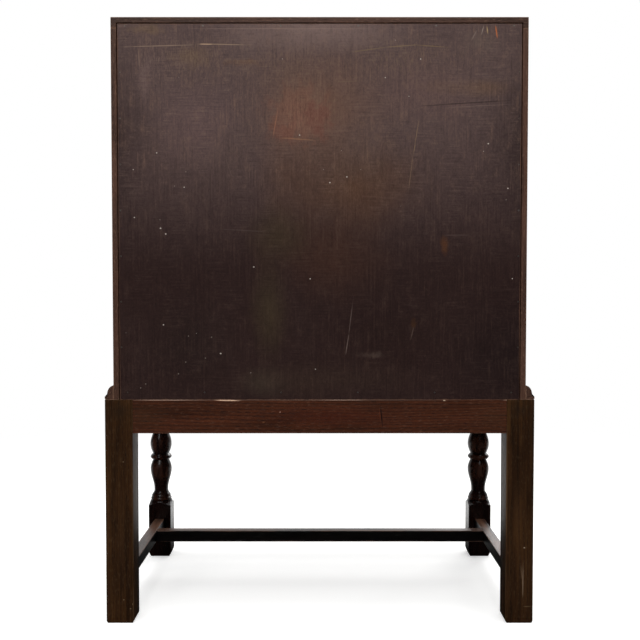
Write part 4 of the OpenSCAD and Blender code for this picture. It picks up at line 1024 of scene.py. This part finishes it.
def screws(material):
    """Screws of the hinges, in the bed and in the closed fall, and of the lock."""
    pin_low, pin_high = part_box("hinge_pins")
    hinge = Vector((0.0, (pin_low.y + pin_high.y) / 2, (pin_low.z + pin_high.z) / 2))
    up = Vector((0.0, math.cos(SLOPE), math.sin(SLOPE)))
    into = Vector((0.0, math.sin(SLOPE), -math.cos(SLOPE)))
    middle = pin_high.x - HINGE_HALF * MM
    across = [Vector((side * middle + x * MM, 0.0, 0.0)) for side in (-1, 1) for x in HINGE_SCREWS]
    bed = [hinge + x + Vector((0.0, HINGE_SCREW_IN * MM, 0.0)) for x in across]
    screw_heads("bed_hinge_screws", bed, (0, 0, 1), HINGE_DOME, body_of("bed_hinge_leaves"), material)
    fall = [hinge + x + up * HINGE_SCREW_IN * MM for x in across]
    screw_heads("fall_hinge_screws", fall, into, HINGE_DOME, body_of("fall_hinge_leaves"), material)
    points = read_points(frame["nodes"]["lock_case"].data)
    run = (points - np.array(hinge)) @ np.array(up)
    wide = points[:, 0].max() - LOCK_SCREW_IN * MM
    lock = [hinge + up * u + Vector((side * wide, 0.0, 0.0)) for side in (-1, 1)
            for u in (run.min() + LOCK_SCREW_IN * MM, run.max() - LOCK_SCREW_IN * MM)]
    screw_heads("lock_screws", lock, into, LOCK_DOME, body_of("lock_case"), material)


# Dressing


def fall_slant(points):
    """Distance of points in from the closed fall's outer face, which the sides' front edges follow."""
    out = np.array((-math.sin(SLOPE), math.cos(SLOPE)))
    outer = (read_points(frame["nodes"]["fall_panel"].data)[:, 1:] @ out).max()
    return outer - points[:, 1:] @ out


# Wooden nodes that keep their shape: their finish, slot, ease of the arrises in mm and lie of the grain
BOARDS = [
    ("leg_back_left leg_back_right", "leg", "legs", 0.8, {"axis": 2}),
    ("stand_rail_left stand_rail_right stand_rail_front", "rail", "stand_rails", 0.8, {}),
    ("stand_rail_back", "back_rail", "stand_rails", 0.8, {}),
    ("stretcher_left stretcher_right stretcher_cross", "stretcher", "stretchers", 1.2, {}),
    ("corner_blocks drawer_runners loper_guides", "bare", "drawer_wood", 0.8, {}),
    ("side_left side_right", "carcase", "carcase", 0.8, {"axis": 2, "slant": fall_slant}),
    ("top_board bottom_board drawer_rail loper_rail fall_bearer fall_stop", "carcase", "carcase", 0.8, {}),
    ("writing_bed", "fall", "carcase", 0.8, {}),
    ("back_panel", "panel", "back_panel", 0.5, {"axis": 2}),
    ("fall_panel", "fall", "fall", 0.8, {"axis": 0, "turn": SLOPE}),
    ("fall_cleat_left fall_cleat_right", "fall", "fall", 0.8, {"turn": SLOPE}),
    ("loper_left loper_right", "fall", "drawer_fronts", 0.8, {}),
    ("upper_drawer_front lower_drawer_front", "fall", "drawer_fronts", 1.2, {}),
    ("upper_drawer_box lower_drawer_box", "dovetailed", "drawer_wood", 0.8, {}),
    ("upper_drawer_bottom lower_drawer_bottom", "bare", "drawer_wood", 0.4, {}),
    ("small_drawer_left small_drawer_right fitting_shelf fitting_uprights", "fitting", "fitting", 0.6, {}),
    ("fitting_valances", "fitting", "fitting", 0.4, {}),
]
# Metal nodes that keep their shape: their finish, slot and ease of the arrises in mm
METALWORK = [
    ("back_panel_pins", "iron", "steel", 0.0),
    ("hinge_pins lock_bolt key", "iron", "steel", 0.3),
    ("strike_plate bed_hinge_leaves fall_hinge_leaves lock_case escutcheon", "brass", "brass", 0.3),
    ("upper_drawer_handle_plates lower_drawer_handle_plates", "brass", "brass", 0.5),
]


def dress(finish):
    """Gives every piece its finish, and new surfaces to those that the CAD keeps plain."""
    for nodes, wood, slot, ease, grain in BOARDS:
        for node in nodes.split():
            board(node, finish[wood], slot, ease * MM, **grain)
    for nodes, metal, slot, ease in METALWORK:
        for node in nodes.split():
            fitting_of_metal(node, finish[metal], ease * MM)
    for side in SIDES:
        front_leg(side, finish["turned"])
        loper_knob(f"loper_knob_{side}", finish["brass"])
        for level in ("upper", "lower"):
            bail(f"{level}_drawer_bail_{side}", finish["brass"])
    base_mouldings(finish["carcase"])
    screws(finish["brass"])


def finishes():
    """The finishes, by what they go on."""
    return {
        # near black under a hard polish: light runs down the turning in thin lines
        "turned": stained_oak(
            "oak_black_stain_polished", "#040100", "#0b0302", "#1c0803", "#43200f", gloss=0.20, figure=0.2,
            rub=0.8 * MM, rubbed_share=0.6, shine=0.35, polish=0.15, dusty=0.0),
        # dull olive brown: old wax over thin stain, with a little dust in the pores
        "leg": marked_oak(stained_oak(
            "oak_dark_stain_legs", "#110802", "#231103", "#3e250c", "#5e4c36", gloss=0.46, rubbed_share=0.3,
            shine=0.08, dusty=0.12), LEG_MARKS),
        # a red glow between brown ends, and a pale chipped top arris
        "back_rail": marked_oak(stained_oak(
            "oak_red_stain_back_rail", "#170903", "#371807", "#4a210b", "#6f5140", gloss=0.42,
            pores=0.9, figure=0.45, rubbed_share=0.35, dusty=0.16), RAIL_MARKS),
        # the same red, quiet, without the marks of the back rail
        "rail": stained_oak("oak_red_stain_rails", "#1a0c06", "#33190e", "#4a2515", "#76583f", gloss=0.42),
        # black sides under a top that feet have worn pale; its faces that look up are also painted paler, as
        # lit from above
        "stretcher": stained_oak(
            "oak_dark_stain_stretchers", "#020101", "#040202", "#0c0604", "#6b4a38", gloss=0.30,
            rub=1.8 * MM, rubbed_share=0.6, shine=0.4, dusty=0.0, worn_and_lit_tops=1.6),
        # dry brown with pale rubbed arrises
        "carcase": stained_oak(
            "oak_brown_stain_carcase", "#190d08", "#38241b", "#523629", "#7d5f4c", gloss=0.44, rub=1.4 * MM),
        # the show wood: warmer, and waxed to a soft sheen
        "fall": stained_oak(
            "oak_brown_stain_fronts", "#1c0e07", "#3b2315", "#573520", "#8c6a4c", gloss=0.34, rub=1.4 * MM,
            rubbed_share=0.6, shine=0.25, polish=0.1),
        # cleaner and lighter, kept from light and hands
        "fitting": stained_oak(
            "oak_light_stain_fitting", "#2a170c", "#4d301c", "#6d482c", "#9a7856", gloss=0.42),
        # pale and dry wood that was never stained
        "bare": stained_oak("oak_unstained", *UNSTAINED, gloss=0.62),
        # the same, with the darker end grain of the pins between the tails
        "dovetailed": dovetailed_oak(),
        # dark scuffed ply: grey bloom and painted sheen above, brown below, thin scratches and pale flecks
        "panel": panel_ply(),
        # cast and filed brass: brown gold in the hollows, bright where fingers rub
        "brass": old_metal(
            "brass_aged", 6 * MM, 0.6, "#5b4423", "#b08a4a", (0.35, 0.70), (1.1, -0.25), 0.05 * MM),
        # wrought and filed iron: grey, with a brown bloom of old rust
        "iron": old_metal(
            "iron_dull", 4 * MM, 0.65, "#3c2a20", "#5e5a56", (0.70, 0.40), (-0.2, 1.3), 0.04 * MM,
            metallic=0.85),
    }


# Studio

# In metres: half the floor's side, how far out it starts to fade and is white, and, along Y towards the
# camera, where its mirror image starts to dim and is dim
FLOOR_REACH = 12.0
FADE = (0.5, 2.2)
DIMMED = (-0.6, -0.2)
# Soft lamps: name, place, what they face, width and height, and watts
LAMPS = [
    ("lamp_over_camera", (0.3, 2.9, 2.3), (0.0, 0.2, 0.8), (2.6, 1.2), 45),
    ("lamp_overhead", (0.0, 0.0, 3.2), (0.0, 0.0, 0.0), (2.4, 2.4), 60),
    ("lamp_front", (-1.5, -2.9, 2.0), (0.0, 0.0, 0.6), (2.0, 1.4), 45),
]


def white_floor():
    """Plain pale floor that keeps the desk's shadow and runs into the white behind it for the camera."""
    mesh = bpy.data.meshes.new("studio_floor")
    corners = ((-1, -1), (1, -1), (1, 1), (-1, 1))
    mesh.from_pydata([(x * FLOOR_REACH, y * FLOOR_REACH, 0) for x, y in corners], [], [(0, 1, 2, 3)])
    material, tree = bare_material("floor_pale")
    place = put(tree, "TexCoord").outputs["Object"]
    away = put(tree, "VectorMath", [place, (1.0, 1.0, 0.0)], **TIMES)
    away = put(tree, "VectorMath", [away], operation="LENGTH")
    faded = put(tree, "MapRange", [away, *FADE], **EASED)
    path = put(tree, "LightPath").outputs
    seen = path["Is Camera Ray"]
    depth = put(tree, "SeparateXYZ", [place]).outputs[1]
    before = put(tree, "MapRange", [depth, *DIMMED], **EASED)
    mirrored = put(tree, "Math", [path["Is Glossy Ray"], before], **TIMES)
    lift = put(tree, "Math", [seen, FLOOR_LIFT], **TIMES)
    white = put(tree, "Math", [seen, faded], **TIMES)
    tone = put(tree, "Mix", {0: mirrored, 6: "#f2f2f1", 7: "#1c1c1c"}, **COLOURS)
    matt = put(tree, "BsdfDiffuse", {"Color": tone})
    lifted = put(tree, "Emission", {"Color": "#ffffff", "Strength": lift})
    near = put(tree, "AddShader", [matt, lifted])
    far = put(tree, "Emission", {"Color": "#ffffff", "Strength": 1.0})
    floor_seen = put(tree, "MixShader", [white, near, far])
    put(tree, "OutputMaterial", {"Surface": floor_seen})
    mesh.materials.append(material)
    floor = in_scene(bpy.data.objects.new("studio_floor", mesh))


def studio_world():
    """White to the camera; to polished faces a white sweep beyond the desk and a dim room before it."""
    world = bpy.data.worlds.new("studio")
    world.use_nodes = True
    bpy.context.scene.world = world
    tree = world.node_tree
    tree.nodes.clear()
    facing = put(tree, "SeparateXYZ", [put(tree, "TexCoord").outputs["Generated"]]).outputs[1]
    mirrored = put(tree, "MapRange", [facing, -0.25, -0.70, DIM_ROOM, BACKDROP], **EASED)
    path = put(tree, "LightPath").outputs
    shiny = put(tree, "Math", [path["Is Glossy Ray"], path["Is Transmission Ray"]], operation="MAXIMUM")
    level = put(tree, "Mix", {0: shiny, 2: AMBIENT, 3: mirrored}, **NUMBERS)
    level = put(tree, "Mix", {0: path["Is Camera Ray"], 2: level, 3: 1.0}, **NUMBERS)
    sky = put(tree, "Background", {"Color": "#ffffff", "Strength": level})
    put(tree, "OutputWorld", {"Surface": sky})


def softbox(name, place, target, size, watts):
    """Soft rectangular lamp that faces a target."""
    lamp = bpy.data.lights.new(name, "AREA")
    lamp.shape = "RECTANGLE"
    lamp.size, lamp.size_y = size
    lamp.energy = watts
    made = in_scene(bpy.data.objects.new(name, lamp))
    made.location = place
    made.rotation_euler = (Vector(target) - Vector(place)).to_track_quat("-Z", "Y").to_euler()


def camera():
    """Camera at the photograph's place and viewing angle."""
    data = bpy.data.cameras.new("camera")
    data.lens, data.sensor_width, data.sensor_fit = LENS, SENSOR, "HORIZONTAL"
    made = in_scene(bpy.data.objects.new("camera", data))
    made.location = CAMERA_PLACE
    made.rotation_euler = (math.pi / 2 - CAMERA_TILT, 0.0, math.pi)
    bpy.context.scene.camera = made


camera()
studio_world()
white_floor()
for settings in LAMPS:
    softbox(*settings)
bpy.context.scene.view_settings.view_transform = "Standard"

dress(finishes())
